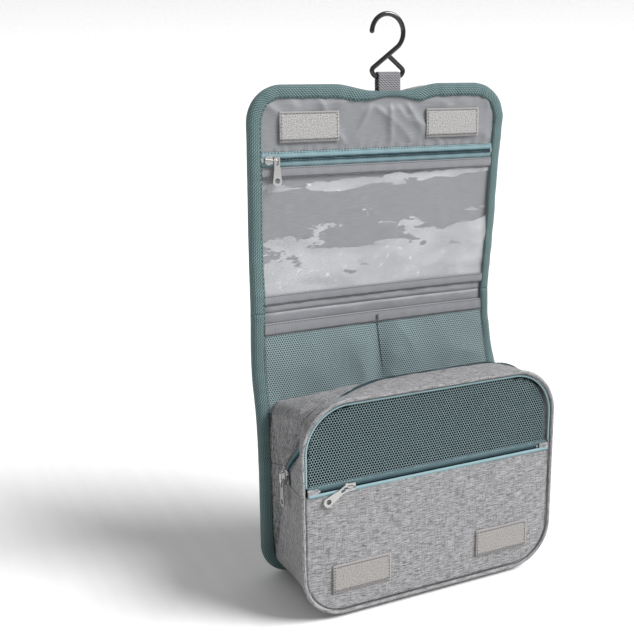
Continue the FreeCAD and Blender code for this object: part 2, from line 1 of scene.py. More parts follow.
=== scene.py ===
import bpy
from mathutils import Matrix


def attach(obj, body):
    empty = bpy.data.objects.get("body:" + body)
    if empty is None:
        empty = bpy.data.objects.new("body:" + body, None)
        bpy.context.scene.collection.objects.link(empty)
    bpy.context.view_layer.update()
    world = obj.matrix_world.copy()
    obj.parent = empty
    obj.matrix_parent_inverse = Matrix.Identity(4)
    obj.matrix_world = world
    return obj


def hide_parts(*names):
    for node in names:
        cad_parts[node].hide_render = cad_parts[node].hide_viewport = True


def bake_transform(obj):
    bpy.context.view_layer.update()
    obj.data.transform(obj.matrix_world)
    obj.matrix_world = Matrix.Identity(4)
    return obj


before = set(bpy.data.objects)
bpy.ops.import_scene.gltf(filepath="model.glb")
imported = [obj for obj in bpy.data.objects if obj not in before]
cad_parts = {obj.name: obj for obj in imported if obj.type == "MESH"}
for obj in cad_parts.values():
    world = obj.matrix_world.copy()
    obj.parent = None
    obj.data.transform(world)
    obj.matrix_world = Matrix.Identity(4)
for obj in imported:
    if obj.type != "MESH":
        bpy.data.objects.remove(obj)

"""Hanging toiletry bag: cloth, net, film, zips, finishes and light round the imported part.

Shapes are worked out in bag coordinates in millimetres: u across from the middle of the panel,
y in depth (negative towards the viewer) and h above the panel's bottom edge.
"""

import logging
import math
from collections.abc import Callable, Iterable, Sequence
from dataclasses import dataclass, field
from enum import Enum

import bpy
import numpy as np
from mathutils import Matrix, Vector, noise

LOG = logging.getLogger("toiletry_bag")

# ---- the frame, in millimetres ----
MIDDLE = -6.5
BASE = -453.9
PANEL_HALF = 120.0
PANEL_HEIGHT = 413.5
TOP_RADIUS = 31.0
BOTTOM_RADIUS = 28.0
UPPER_FOLD = 283.0
LOWER_FOLD = 184.0
SPLIT = 233.5
TAB_U = 6.5
TAB_HALF = 10.1
DIP = 5.5
DIP_FLAT = 12.8
DIP_RUN = 37.0
BAR_H = PANEL_HEIGHT + 6.0
BOW_H = BAR_H + 34.4
INNER_HALF = 109.0
ZIP_H = 356.0
TAPE_HALF = 6.0
BAND = 8.0
WINDOW_FOOT = 248.0
HEM_H = 214.5
HEM = 10.5
PATCH_U = 67.0
PATCH_SIZE = (52.0, 24.0)
LOOP_PATCH_H = 381.0
HOOK_PATCH_H = 34.0

POUCH_HALF = 115.0
POUCH_LOW = 6.0
POUCH_TOP = 178.0
POUCH_FRONT = -90.0
POUCH_BACK = -4.4
POUCH_R_TOP = 38.0
POUCH_R_LOW = 34.0
# outlines of the gusset at its front and where it meets the panel: half width, low, top, two radii
FRONT_SIDE = (POUCH_HALF, POUCH_LOW, POUCH_TOP, POUCH_R_LOW, POUCH_R_TOP)
PANEL_SIDE = (POUCH_HALF - 6.0, POUCH_LOW + 3.0, POUCH_TOP - 20.0, 16.0, 14.0)
LID_HINGE = 97.0
GUSSET_SEAM = 104.0
FRONT_ZIP_H = 109.75
FRONT_ZIP_HALF = 104.0
ZIP_END_LENGTH = 9.0
ZIP_END_HALF = 3.5
COIL_GAP = 0.95             # from the middle of a zip to the middle of a coil
COIL_PITCH = 1.15
COIL_START = 3.0            # from the end of a zip to its first tooth
ABOVE_ALL = 999.0           # asks for a grid up to the panel's top edge
ROW_RATIO = 0.866           # height of a row of even triangles over their side
UV_MM = 10                  # millimetres to one unit of the cloth coordinates

# ---- slack: how far the panel's sides draw in, and how the pouch's left wall folds ----
RIGHT_PULL = ((0, 0), (160, 0), (178, 4.6), (192, 7.6), (210, 11.0), (237, 12.6), (262, 9.6), (290, 5.4),
              (320, 4.0), (350, 2.4), (375, 0.0), (500, 0))
LEFT_PULL = ((0, 2.5), (60, 3.0), (110, 3.0), (150, 1.8), (178, -0.3), (215, -1.0), (250, -0.6), (300, 1.0),
             (350, 1.2), (380, 1.5), (420, 0.0))
VALLEY = ((0.0, 0.0), (0.035, 0.0), (0.08, 11.0), (0.17, 17.0), (0.27, 10.0), (0.37, 2.5), (0.45, 0.0),
          (1.0, 0.0))
CREASE = ((8, -6), (25, -13), (50, -25), (80, -35), (104, -43), (130, -26), (152, -9), (170, -6))
ZIP_PATH = ((0.0, -52), (0.05, -52), (0.12, -54), (0.20, -62), (0.28, -60), (0.38, -46), (0.5, -37),
            (0.62, -37), (0.73, -45), (0.80, -53), (0.90, -52), (1.0, -50))


class Body(Enum):
    """The part's moving bodies."""

    HOOK = "hook"
    FLAP = "flap"
    BRIDGE = "bridge"
    POUCH = "pouch"
    LID = "lid"


@dataclass(frozen=True)
class Hold:
    """What a piece moves with: one body, or two bodies and two heights; a piece with two is attached to no
    body.
    """

    body: Body
    other: Body | None = None
    start: float = 0.0
    end: float = 0.0

    def attach(self, obj: bpy.types.Object) -> None:
        """Hands the piece to its one body, or only bakes its transform when it has two.

        Args:
            obj: finished mesh object, in the row frame.
        """
        if self.other is None:
            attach(obj, self.body.value)
        else:
            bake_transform(obj)


ON_HOOK = Hold(Body.HOOK)
ON_FLAP = Hold(Body.FLAP)
ON_BRIDGE = Hold(Body.BRIDGE)
ON_POUCH = Hold(Body.POUCH)
ON_LID = Hold(Body.LID)
OVER_UPPER_FOLD = Hold(Body.FLAP, Body.BRIDGE, UPPER_FOLD + 8, UPPER_FOLD - 8)
OVER_LOWER_FOLD = Hold(Body.BRIDGE, Body.POUCH, LOWER_FOLD + 8, LOWER_FOLD - 8)
OVER_LID_BEND = Hold(Body.POUCH, Body.LID, LID_HINGE - 6, LID_HINGE + 6)
LID_GUSSET = Hold(Body.POUCH, Body.LID, GUSSET_SEAM, GUSSET_SEAM + 24)


# ---------------------------------------------------------------- numbers and shapes
def row(point: Sequence[float]) -> Vector:
    """Turns a bag coordinate into the row frame.

    Args:
        point: u, y and h in millimetres.

    Returns:
        The point in metres.
    """
    return Vector(((point[0] + MIDDLE) / 1000, point[1] / 1000, (point[2] + BASE) / 1000))


def ease(value: np.ndarray | float) -> np.ndarray:
    """Smooth step from 0 to 1.

    Args:
        value: any number; clamped to 0..1.

    Returns:
        The eased number.
    """
    t = np.clip(value, 0.0, 1.0)
    return t * t * (3 - 2 * t)


def ripple(u: np.ndarray, v: np.ndarray, size: float, seed: float, octaves: int = 2) -> np.ndarray:
    """Smooth random relief.

    Args:
        u: first coordinate of each point, in millimetres.
        v: second coordinate of each point.
        size: width of one lump, in millimetres.
        seed: picks the pattern.
        octaves: layers of finer detail.

    Returns:
        Heights from about -1 to 1, shaped like u.
    """
    flat = [noise.fractal(Vector((a / size, b / size, seed)), 0.5, 2.0, octaves)
            for a, b in zip(np.ravel(u), np.ravel(v))]
    return np.array(flat).reshape(np.shape(u))


def top_height(u: np.ndarray | float) -> np.ndarray:
    """Height of the panel's top edge, with its dip at the hanging tab.

    Args:
        u: across, in millimetres.

    Returns:
        The height there.
    """
    return PANEL_HEIGHT - DIP * ease(1 - (np.abs(np.asarray(u) - TAB_U) - DIP_FLAT) / DIP_RUN)


def warp(points: np.ndarray) -> np.ndarray:
    """The panel's slack: it draws in and curls forward between the window and the pouch.

    Args:
        points: bag coordinates, last axis of 3.

    Returns:
        The moved points.
    """
    u, y, h = (points[..., k] for k in range(3))
    side = np.abs(u) / PANEL_HALF
    pull = np.where(u > 0, spline(h, RIGHT_PULL), spline(h, LEFT_PULL)) * side ** 2
    moved = points.copy()
    moved[..., 0] = u - np.sign(u) * pull
    moved[..., 1] = (y - 3.0 * np.exp(-((h - 238) / 36) ** 2) * side ** 3
                     + 1.5 * np.exp(-((h - 300) / 30) ** 2) * side ** 2)
    return moved


def spline(x: np.ndarray, knots: Sequence[tuple[float, float]]) -> np.ndarray:
    """Smooth curve through knots.

    Args:
        x: where to read it.
        knots: (x, value) pairs in rising x.

    Returns:
        The values.
    """
    at, value = (np.array(v, float) for v in zip(*knots))
    slope = np.gradient(value, at)
    k = np.clip(np.searchsorted(at, x) - 1, 0, len(at) - 2)
    gap = at[k + 1] - at[k]
    t = np.clip((x - at[k]) / gap, 0, 1)
    return ((1 + 2 * t) * (1 - t) ** 2 * value[k] + t * (1 - t) ** 2 * gap * slope[k]
            + t * t * (3 - 2 * t) * value[k + 1] + t * t * (t - 1) * gap * slope[k + 1])


def half_width(h: np.ndarray, half: float, low: float, top: float, r_low: float, r_top: float) -> np.ndarray:
    """Half width of a rounded rectangle at a height.

    Args:
        h: heights.
        half: half width of its straight part.
        low: bottom edge.
        top: top edge.
        r_low: bottom corner radius.
        r_top: top corner radius.

    Returns:
        Half width at each height.
    """
    above = np.clip(h - (top - r_top), 0, r_top)
    below = np.clip((low + r_low) - h, 0, r_low)
    return (half - r_top + np.sqrt(r_top ** 2 - above ** 2)) + (np.sqrt(r_low ** 2 - below ** 2) - r_low)


def rounded_path(half: float, low: float, top: float, r_low: float, r_top: float, step: float,
                 start: float, end: float | None = None) -> np.ndarray:
    """Points clockwise along a rounded rectangle.

    Args:
        half: half width.
        low: bottom edge.
        top: top edge.
        r_low: bottom corner radius.
        r_top: top corner radius.
        step: spacing of the points.
        start: height on the left side where the path starts.
        end: height on the right side where it ends, or None for the whole loop.

    Returns:
        Array of (u, h) points.
    """
    def arc(cu: float, ch: float, r: float, a0: float, a1: float) -> list[tuple[float, float]]:
        """Points of an arc.

        Args:
            cu: centre across.
            ch: centre height.
            r: radius.
            a0: first angle in degrees.
            a1: last angle.

        Returns:
            (u, h) points.
        """
        count = max(4, int(abs(math.radians(a1 - a0)) * r / step))
        turn = np.radians(np.linspace(a0, a1, count + 1))
        return list(zip(cu + r * np.cos(turn), ch + r * np.sin(turn)))

    knots = [(-half, start), *arc(-half + r_top, top - r_top, r_top, 180, 90),
             *arc(half - r_top, top - r_top, r_top, 90, 0)]
    if end is None:
        knots += [*arc(half - r_low, low + r_low, r_low, 0, -90),
                  *arc(-half + r_low, low + r_low, r_low, -90, -180), (-half, start)]
    else:
        knots.append((half, end))
    return resample(np.array(knots), step)


def resample(points: np.ndarray, step: float) -> np.ndarray:
    """Spaces points evenly along a polyline.

    Args:
        points: the polyline's corners.
        step: wanted spacing.

    Returns:
        Evenly spaced points.
    """
    gaps = np.linalg.norm(np.diff(points, axis=0), axis=1)
    keep = np.concatenate([[True], gaps > 1e-6])
    points = points[keep]
    along = np.concatenate([[0], np.cumsum(np.linalg.norm(np.diff(points, axis=0), axis=1))])
    count = max(2, int(round(along[-1] / step)) + 1)
    want = np.linspace(0, along[-1], count)
    return np.stack([np.interp(want, along, points[:, k]) for k in range(points.shape[1])], axis=1)


def run_length(points: np.ndarray) -> np.ndarray:
    """Distance along a polyline at each point.

    Args:
        points: the polyline.

    Returns:
        Distances from its start.
    """
    return np.concatenate([[0], np.cumsum(np.linalg.norm(np.diff(points, axis=0), axis=1))])


# ---------------------------------------------------------------- meshes
@dataclass
class Skin:
    """A grid of points that becomes one closed piece of cloth."""

    name: str
    points: np.ndarray
    uv: np.ndarray
    thickness: float = 0.8
    tube: bool = False

    def build(self) -> bpy.types.Object:
        """Makes the mesh object.

        Returns:
            The new object, in the row frame.
        """
        return self._tube() if self.tube else self._slab()

    def _slab(self) -> bpy.types.Object:
        """Closes the grid with a back at the cloth's thickness and a rim.

        Returns:
            The new object.
        """
        rows, cols = self.points.shape[:2]
        along = np.gradient(self.points, axis=1)
        up = np.gradient(self.points, axis=0)
        normal = np.cross(along, up)
        normal /= np.maximum(np.linalg.norm(normal, axis=2, keepdims=True), 1e-9)
        back = self.points - normal * self.thickness
        count = rows * cols
        index = np.arange(count).reshape(rows, cols)
        quads = np.stack([index[:-1, :-1], index[:-1, 1:], index[1:, 1:], index[1:, :-1]], axis=-1)
        quads = quads.reshape(-1, 4)
        ring = np.concatenate([index[0, :-1], index[:-1, -1], index[-1, :0:-1], index[:0:-1, 0]])
        following = np.roll(ring, -1)
        rim = np.stack([following, ring, ring + count, following + count], axis=-1)
        faces = np.concatenate([quads, quads[:, ::-1] + count, rim])
        points = np.concatenate([self.points.reshape(-1, 3), back.reshape(-1, 3)])
        return mesh_object(self.name, points, faces.tolist(), np.tile(self.uv.reshape(-1, 2), (2, 1)))

    def _tube(self) -> bpy.types.Object:
        """Joins each row of points into a ring, with caps unless the rings close.

        Returns:
            The new object.
        """
        rows, cols = self.points.shape[:2]
        index = np.arange(rows * cols).reshape(rows, cols)
        nxt = np.roll(index, -1, axis=1)
        quads = np.stack([index[:-1], nxt[:-1], nxt[1:], index[1:]], axis=-1).reshape(-1, 4).tolist()
        closed = np.allclose(self.points[0], self.points[-1])
        caps = [] if closed else [index[0, ::-1].tolist(), index[-1].tolist()]
        return mesh_object(self.name, self.points.reshape(-1, 3), quads + caps, self.uv.reshape(-1, 2))


def mesh_object(name: str, points: np.ndarray, faces: list[list[int]],
                uv: np.ndarray | None = None) -> bpy.types.Object:
    """Makes a smooth-shaded mesh object from bag coordinates.

    Args:
        name: object name.
        points: bag coordinates in millimetres.
        faces: corner indices.
        uv: cloth coordinates of each point in millimetres, or None to use u and h.

    Returns:
        The new object.
    """
    mesh = bpy.data.meshes.new(name)
    placed = (np.asarray(points, float) + np.array([MIDDLE, 0.0, BASE])) / 1000
    mesh.from_pydata(placed.tolist(), [], faces)
    flat = points[:, [0, 2]] if uv is None else uv
    layer = mesh.uv_layers.new(name="Cloth")
    loops = np.zeros(len(mesh.loops), dtype=np.int64)
    mesh.loops.foreach_get("vertex_index", loops)
    layer.data.foreach_set("uv", (np.asarray(flat, float)[loops] / UV_MM).astype(np.float32).ravel())
    mesh.polygons.foreach_set("use_smooth", [True] * len(mesh.polygons))
    mesh.update()
    mesh.validate()
    obj = bpy.data.objects.new(name, mesh)
    bpy.context.scene.collection.objects.link(obj)
    return obj


def flat_grid(u: np.ndarray, h: np.ndarray, y: np.ndarray) -> np.ndarray:
    """Stacks coordinate grids into points.

    Args:
        u: across.
        h: height.
        y: depth.

    Returns:
        Grid of points.
    """
    return np.stack([u, y, h], axis=-1)


def flat_skin(name: str, u: np.ndarray, h: np.ndarray, y: np.ndarray, thickness: float,
              slack: bool = False) -> Skin:
    """Cloth over a grid that faces forwards.

    Args:
        name: piece name.
        u: across.
        h: height.
        y: depth.
        thickness: of the cloth.
        slack: follow the panel's slack.

    Returns:
        The skin.
    """
    points = flat_grid(u, h, y)
    return Skin(name, warp(points) if slack else points, np.stack([u, h], -1), thickness=thickness)


def box_grid(u0: float, u1: float, h0: float, h1: float, step: float) -> tuple[np.ndarray, np.ndarray]:
    """Even grid over a rectangle.

    Args:
        u0: left edge.
        u1: right edge.
        h0: bottom edge.
        h1: top edge.
        step: spacing.

    Returns:
        The u and h grids.
    """
    across = np.linspace(u0, u1, max(2, int((u1 - u0) / step) + 1))
    up = np.linspace(h0, h1, max(2, int((h1 - h0) / step) + 1))
    return np.meshgrid(across, up)


def sweep(name: str, path: np.ndarray, inward: np.ndarray, profile: np.ndarray,
          shape: Callable[[np.ndarray, np.ndarray], np.ndarray] | None = None) -> Skin:
    """Carries a closed profile along a path in the plane of the panel.

    Args:
        name: piece name.
        path: (u, h) points.
        inward: unit (u, h) direction that the profile's first axis follows, at each point.
        profile: (reach, depth) points.
        shape: changes (reach, depth) at each path point, given the path's points and the profile.

    Returns:
        The swept skin.
    """
    section = np.repeat(profile[None], len(path), axis=0) if shape is None else shape(path, profile)
    reach, depth = section[..., 0], section[..., 1]
    points = np.stack([path[:, None, 0] + inward[:, None, 0] * reach, depth,
                       path[:, None, 1] + inward[:, None, 1] * reach], axis=-1)
    edge = np.concatenate([[0], np.cumsum(np.linalg.norm(np.diff(profile, axis=0), axis=1))])
    uv = np.stack(np.broadcast_arrays(run_length(path)[:, None], edge[None]), axis=-1)
    return Skin(name, points, uv, tube=True)


def sideways(path: np.ndarray, turn: int) -> np.ndarray:
    """Unit direction square to a path.

    Args:
        path: (u, h) points.
        turn: 1 for the right-hand side, -1 for the left.

    Returns:
        One (u, h) direction for each point.
    """
    tangent = np.gradient(path, axis=0)
    tangent /= np.maximum(np.linalg.norm(tangent, axis=1, keepdims=True), 1e-9)
    return np.stack([tangent[:, 1], -tangent[:, 0]], axis=1) * turn


# ---------------------------------------------------------------- finishes
class Graph:
    """Short hand for building node trees."""

    def __init__(self, tree: bpy.types.NodeTree) -> None:
        """Keeps the tree.

        Args:
            tree: the node tree to fill.
        """
        self.tree = tree

    def node(self, kind: str, **values: object) -> bpy.types.Node:
        """Adds a node.

        Args:
            kind: node type.
            values: its properties.

        Returns:
            The node.
        """
        made = self.tree.nodes.new(kind)
        for key, value in values.items():
            setattr(made, key, value)
        return made

    def put(self, socket: bpy.types.NodeSocket, value: object) -> None:
        """Links or sets an input.

        Args:
            socket: the input.
            value: an output socket or a constant.
        """
        if isinstance(value, bpy.types.NodeSocket):
            self.tree.links.new(value, socket)
        elif value is not None:
            socket.default_value = value

    def math(self, operation: str, a: object, b: object = None, clamp: bool = False) -> bpy.types.NodeSocket:
        """Adds a sum.

        Args:
            operation: Blender's name for it.
            a: first value.
            b: second value.
            clamp: keep the result within 0 to 1.

        Returns:
            The result.
        """
        made = self.node("ShaderNodeMath", operation=operation, use_clamp=clamp)
        self.put(made.inputs[0], a)
        self.put(made.inputs[1], b)
        return made.outputs[0]

    def cloth(self, scale: Sequence[float] = (1, 1, 1)) -> bpy.types.NodeSocket:
        """Cloth coordinates in millimetres, stretched.

        Args:
            scale: factor along each direction.

        Returns:
            The vector.
        """
        source = self.node("ShaderNodeUVMap", uv_map="Cloth")
        made = self.node("ShaderNodeMapping")
        self.put(made.inputs["Vector"], source.outputs[0])
        made.inputs["Scale"].default_value = [UV_MM * s for s in scale]
        return made.outputs[0]

    def noise(self, vector: object, scale: float, detail: float = 2.0,
              rough: float = 0.5) -> bpy.types.NodeSocket:
        """Random pattern.

        Args:
            vector: coordinates.
            scale: lumps to a unit.
            detail: finer layers.
            rough: their strength.

        Returns:
            A value about 0.5.
        """
        made = self.node("ShaderNodeTexNoise")
        self.put(made.inputs["Vector"], vector)
        made.inputs["Scale"].default_value = scale
        made.inputs["Detail"].default_value = detail
        made.inputs["Roughness"].default_value = rough
        return made.outputs["Fac"]

    def ramp(self, value: object, low: float, high: float) -> bpy.types.NodeSocket:
        """Spreads a range over 0 to 1.

        Args:
            value: input.
            low: becomes 0.
            high: becomes 1.

        Returns:
            The spread value.
        """
        made = self.node("ShaderNodeMapRange", interpolation_type="SMOOTHSTEP")
        self.put(made.inputs["Value"], value)
        made.inputs["From Min"].default_value = low
        made.inputs["From Max"].default_value = high
        return made.outputs[0]

    def mix(self, share: object, a: object, b: object) -> bpy.types.NodeSocket:
        """Mixes two colours.

        Args:
            share: 0 for a, 1 for b.
            a: first colour.
            b: second colour.

        Returns:
            The colour.
        """
        made = self.node("ShaderNodeMix", data_type="RGBA")
        self.put(made.inputs["Factor"], share)
        self.put(made.inputs["A"], colour(a) if isinstance(a, tuple) else a)
        self.put(made.inputs["B"], colour(b) if isinstance(b, tuple) else b)
        return made.outputs["Result"]


def colour(rgb: Sequence[float]) -> tuple[float, float, float, float]:
    """Adds a full alpha to a colour.

    Args:
        rgb: linear red, green and blue.

    Returns:
        Four numbers.
    """
    return (rgb[0], rgb[1], rgb[2], 1.0)


def weave_group() -> bpy.types.NodeTree:
    """Shared plain-weave relief: over and under threads of a given pitch.

    Returns:
        A group with inputs Vector and Pitch and outputs Height and Gap.
    """
    name = "plain weave"
    if name in bpy.data.node_groups:
        return bpy.data.node_groups[name]
    tree = bpy.data.node_groups.new(name, "ShaderNodeTree")
    tree.interface.new_socket("Vector", in_out="INPUT", socket_type="NodeSocketVector")
    pitch = tree.interface.new_socket("Pitch", in_out="INPUT", socket_type="NodeSocketFloat")
    pitch.default_value = 0.6
    tree.interface.new_socket("Height", in_out="OUTPUT", socket_type="NodeSocketFloat")
    tree.interface.new_socket("Gap", in_out="OUTPUT", socket_type="NodeSocketFloat")
    g = Graph(tree)
    source, out = g.node("NodeGroupInput"), g.node("NodeGroupOutput")
    split = g.node("ShaderNodeSeparateXYZ")
    g.put(split.inputs[0], source.outputs["Vector"])
    turn = g.math("DIVIDE", 2 * math.pi, source.outputs["Pitch"])
    waves = [g.math("SINE", g.math("MULTIPLY", split.outputs[k], turn)) for k in (0, 1)]
    over = g.math("MULTIPLY", waves[0], waves[1])
    threads = g.math("ADD", g.math("ABSOLUTE", waves[0]), g.math("ABSOLUTE", waves[1]))
    g.put(out.inputs["Height"],
          g.math("ADD", g.math("MULTIPLY", over, 0.5), g.math("MULTIPLY", threads, 0.35)))
    g.put(out.inputs["Gap"], g.math("SUBTRACT", 1.0, g.math("MULTIPLY", threads, 0.7), clamp=True))
    return tree


def twill_group() -> bpy.types.NodeTree:
    """Shared diagonal rib of webbing and tape.

    Returns:
        A group with inputs Vector, Pitch and Slant and output Height.
    """
    name = "twill rib"
    if name in bpy.data.node_groups:
        return bpy.data.node_groups[name]
    tree = bpy.data.node_groups.new(name, "ShaderNodeTree")
    for label, kind in (("Vector", "Vector"), ("Pitch", "Float"), ("Slant", "Float")):
        tree.interface.new_socket(label, in_out="INPUT", socket_type=f"NodeSocket{kind}")
    tree.interface.new_socket("Height", in_out="OUTPUT", socket_type="NodeSocketFloat")
    g = Graph(tree)
    source, out = g.node("NodeGroupInput"), g.node("NodeGroupOutput")
    split = g.node("ShaderNodeSeparateXYZ")
    g.put(split.inputs[0], source.outputs["Vector"])
    slanted = g.math("ADD", split.outputs[0], g.math("MULTIPLY", split.outputs[1], source.outputs["Slant"]))
    turn = g.math("DIVIDE", 2 * math.pi, source.outputs["Pitch"])
    rib = g.math("SINE", g.math("MULTIPLY", slanted, turn))
    yarn = g.math("SINE", g.math("MULTIPLY", split.outputs[1], g.math("MULTIPLY", turn, 1.6)))
    g.put(out.inputs["Height"], g.math("ADD", g.math("MULTIPLY", rib, 0.5), g.math("MULTIPLY", yarn, 0.28)))
    return tree


@dataclass(frozen=True)
class Finish:
    """Base of every finish: a name, a main colour and the Principled constants."""

    name: str
    tint: tuple[float, float, float]
    roughness: float = 0.8
    metallic: float = 0.0
    sheen: float = 0.0
    specular: float = 0.4
    coat: float = 0.0

    def tone(self, factor: float, lift: float = 0.0) -> tuple[float, ...]:
        """A lighter or darker shade of the main colour.

        Args:
            factor: multiplies it.
            lift: added after that.

        Returns:
            Linear red, green and blue.
        """
        return tuple(min(1.0, c * factor + lift) for c in self.tint)

    def material(self) -> bpy.types.Material:
        """Builds the material once and gives it out after that.

        Returns:
            The material.
        """
        if self.name in bpy.data.materials:
            return bpy.data.materials[self.name]
        made = bpy.data.materials.new(self.name)
        made.use_nodes = True
        made.node_tree.nodes.clear()
        g = Graph(made.node_tree)
        shader, out = g.node("ShaderNodeBsdfPrincipled"), g.node("ShaderNodeOutputMaterial")
        g.put(out.inputs["Surface"], shader.outputs[0])
        for key, value in (("Base Color", colour(self.tint)), ("Roughness", self.roughness),
                           ("Metallic", self.metallic), ("Sheen Weight", self.sheen),
                           ("Sheen Roughness", 0.4),
                           ("Specular IOR Level", self.specular), ("Coat Weight", self.coat),
                           ("Coat Roughness", 0.08)):
            shader.inputs[key].default_value = value
        self.detail(g, shader)
        return made

    def detail(self, g: Graph, shader: bpy.types.Node) -> None:
        """Adds the finish's own pattern.

        Args:
            g: the material's graph.
            shader: its Principled node.
        """
        wear = g.noise(g.cloth(), 0.08, 3)
        g.put(shader.inputs["Base Color"], g.mix(g.math("MULTIPLY", wear, 0.4), self.tint,
                                                 self.tone(0.8)))

    def bump(self, g: Graph, shader: bpy.types.Node, height: object, distance: float,
             strength: float = 1.0) -> None:
        """Drives the normal from a height.

        Args:
            g: the material's graph.
            shader: its Principled node.
            height: height value.
            distance: depth of the relief in millimetres.
            strength: share of it used.
        """
        made = g.node("ShaderNodeBump")
        made.inputs["Distance"].default_value = distance / 1000
        made.inputs["Strength"].default_value = strength
        g.put(made.inputs["Height"], height)
        g.put(shader.inputs["Normal"], made.outputs[0])

    def weave(self, g: Graph, pitch: float) -> bpy.types.Node:
        """Adds the shared weave.

        Args:
            g: the material's graph.
            pitch: thread spacing in millimetres.

        Returns:
            The group node.
        """
        made = g.node("ShaderNodeGroup", node_tree=weave_group())
        g.put(made.inputs["Vector"], g.cloth())
        made.inputs["Pitch"].default_value = pitch
        return made

    def rib(self, g: Graph, pitch: float, slant: float) -> bpy.types.NodeSocket:
        """Adds the shared diagonal rib.

        Args:
            g: the material's graph.
            pitch: rib spacing in millimetres.
            slant: run of the rib for one unit of height.

        Returns:
            The rib's height.
        """
        made = g.node("ShaderNodeGroup", node_tree=twill_group())
        g.put(made.inputs["Vector"], g.cloth())
        made.inputs["Pitch"].default_value = pitch
        made.inputs["Slant"].default_value = slant
        return made.outputs["Height"]


@dataclass(frozen=True)
class Heather(Finish):
    """Two-tone plain weave with slubs, dark flecks and a few warm threads."""

    dark: tuple[float, float, float] = (0.09, 0.09, 0.095)
    light: tuple[float, float, float] = (0.42, 0.42, 0.43)
    warm: tuple[float, float, float] = (0.33, 0.29, 0.28)

    def detail(self, g: Graph, shader: bpy.types.Node) -> None:
        """Adds yarn colours, the weave and painted shade in the gaps between threads.

        Args:
            g: the material's graph.
            shader: its Principled node.
        """
        across = g.noise(g.cloth((0.10, 1.5, 1)), 1.0, 2, 0.75)
        upright = g.noise(g.cloth((1.5, 0.10, 1)), 1.0, 2, 0.75)
        slub = g.noise(g.cloth((0.06, 0.8, 1)), 1.0, 2)
        light = g.mix(g.ramp(across, 0.40, 0.60), self.tint, self.light)
        dark = g.mix(g.math("MULTIPLY", g.ramp(upright, 0.50, 0.62), 0.48), light, self.dark)
        flecks = g.ramp(g.noise(g.cloth((0.16, 1.6, 1)), 1.0, 1), 0.57, 0.65)
        specks = g.mix(g.math("MULTIPLY", flecks, 0.72), dark, tuple(c * 0.6 for c in self.dark))
        warm = g.mix(g.math("MULTIPLY", g.ramp(slub, 0.58, 0.70), 0.45), specks, self.warm)
        weave = self.weave(g, 0.9)
        # painted shade in the gaps between the threads
        shade = g.mix(g.math("MULTIPLY", weave.outputs["Gap"], 0.35), warm, self.dark)
        g.put(shader.inputs["Base Color"], shade)
        height = g.math("ADD", weave.outputs["Height"], g.math("MULTIPLY", across, 1.2))
        self.bump(g, shader, height, 0.16, 0.8)


@dataclass(frozen=True)
class Taffeta(Finish):
    """Fine shiny lining with a faint thread grid."""

    def detail(self, g: Graph, shader: bpy.types.Node) -> None:
        """Adds thread grid, tone and gloss variation.

        Args:
            g: the material's graph.
            shader: its Principled node.
        """
        tone = g.noise(g.cloth(), 0.03, 3)
        lines = g.noise(g.cloth((0.1, 2.2, 1)), 1.0, 2)
        deep = self.tone(0.72)
        base = g.mix(g.math("MULTIPLY", tone, 0.5), self.tint, deep)
        g.put(shader.inputs["Base Color"], g.mix(g.ramp(lines, 0.52, 0.7), base, self.tone(1.18)))
        g.put(shader.inputs["Roughness"], g.math("ADD", g.math("MULTIPLY", tone, 0.25), self.roughness - 0.1))
        weave = self.weave(g, 0.5)
        self.bump(g, shader, weave.outputs["Height"], 0.04, 0.6)


@dataclass(frozen=True)
class Webbing(Finish):
    """Diagonal rib of binding, tape or webbing."""

    pitch: float = 1.3
    slant: float = 1.0
    depth: float = 0.22
    # share of the painted shade in the rib grooves
    contrast: float = 0.45

    def detail(self, g: Graph, shader: bpy.types.Node) -> None:
        """Adds the ribs, with painted highlight on their crests and painted shade in their grooves.

        Args:
            g: the material's graph.
            shader: its Principled node.
        """
        rib = self.rib(g, self.pitch, self.slant)
        wear = g.noise(g.cloth(), 0.12, 3)
        base = g.mix(g.math("MULTIPLY", wear, 0.4), self.tint, self.tone(0.7))
        # painted highlight on the rib crests, then painted shade in the rib grooves
        lit = g.mix(g.ramp(rib, 0.1, 0.75), base, self.tone(1.5, 0.03))
        deep = g.mix(g.math("MULTIPLY", g.ramp(rib, -0.1, -0.75), self.contrast), lit,
                     self.tone(0.25))
        g.put(shader.inputs["Base Color"], deep)
        self.bump(g, shader, rib, self.depth)


@dataclass(frozen=True)
class Pile(Finish):
    """Loop or hook pile of a touch fastener."""

    grain: float = 1.6

    def detail(self, g: Graph, shader: bpy.types.Node) -> None:
        """Adds the pile.

        Args:
            g: the material's graph.
            shader: its Principled node.
        """
        curls = g.noise(g.cloth(), self.grain, 3, 0.7)
        g.put(shader.inputs["Base Color"], g.mix(g.ramp(curls, 0.35, 0.65), self.tone(0.62),
                                                 self.tone(1.2)))
        self.bump(g, shader, curls, 0.9)


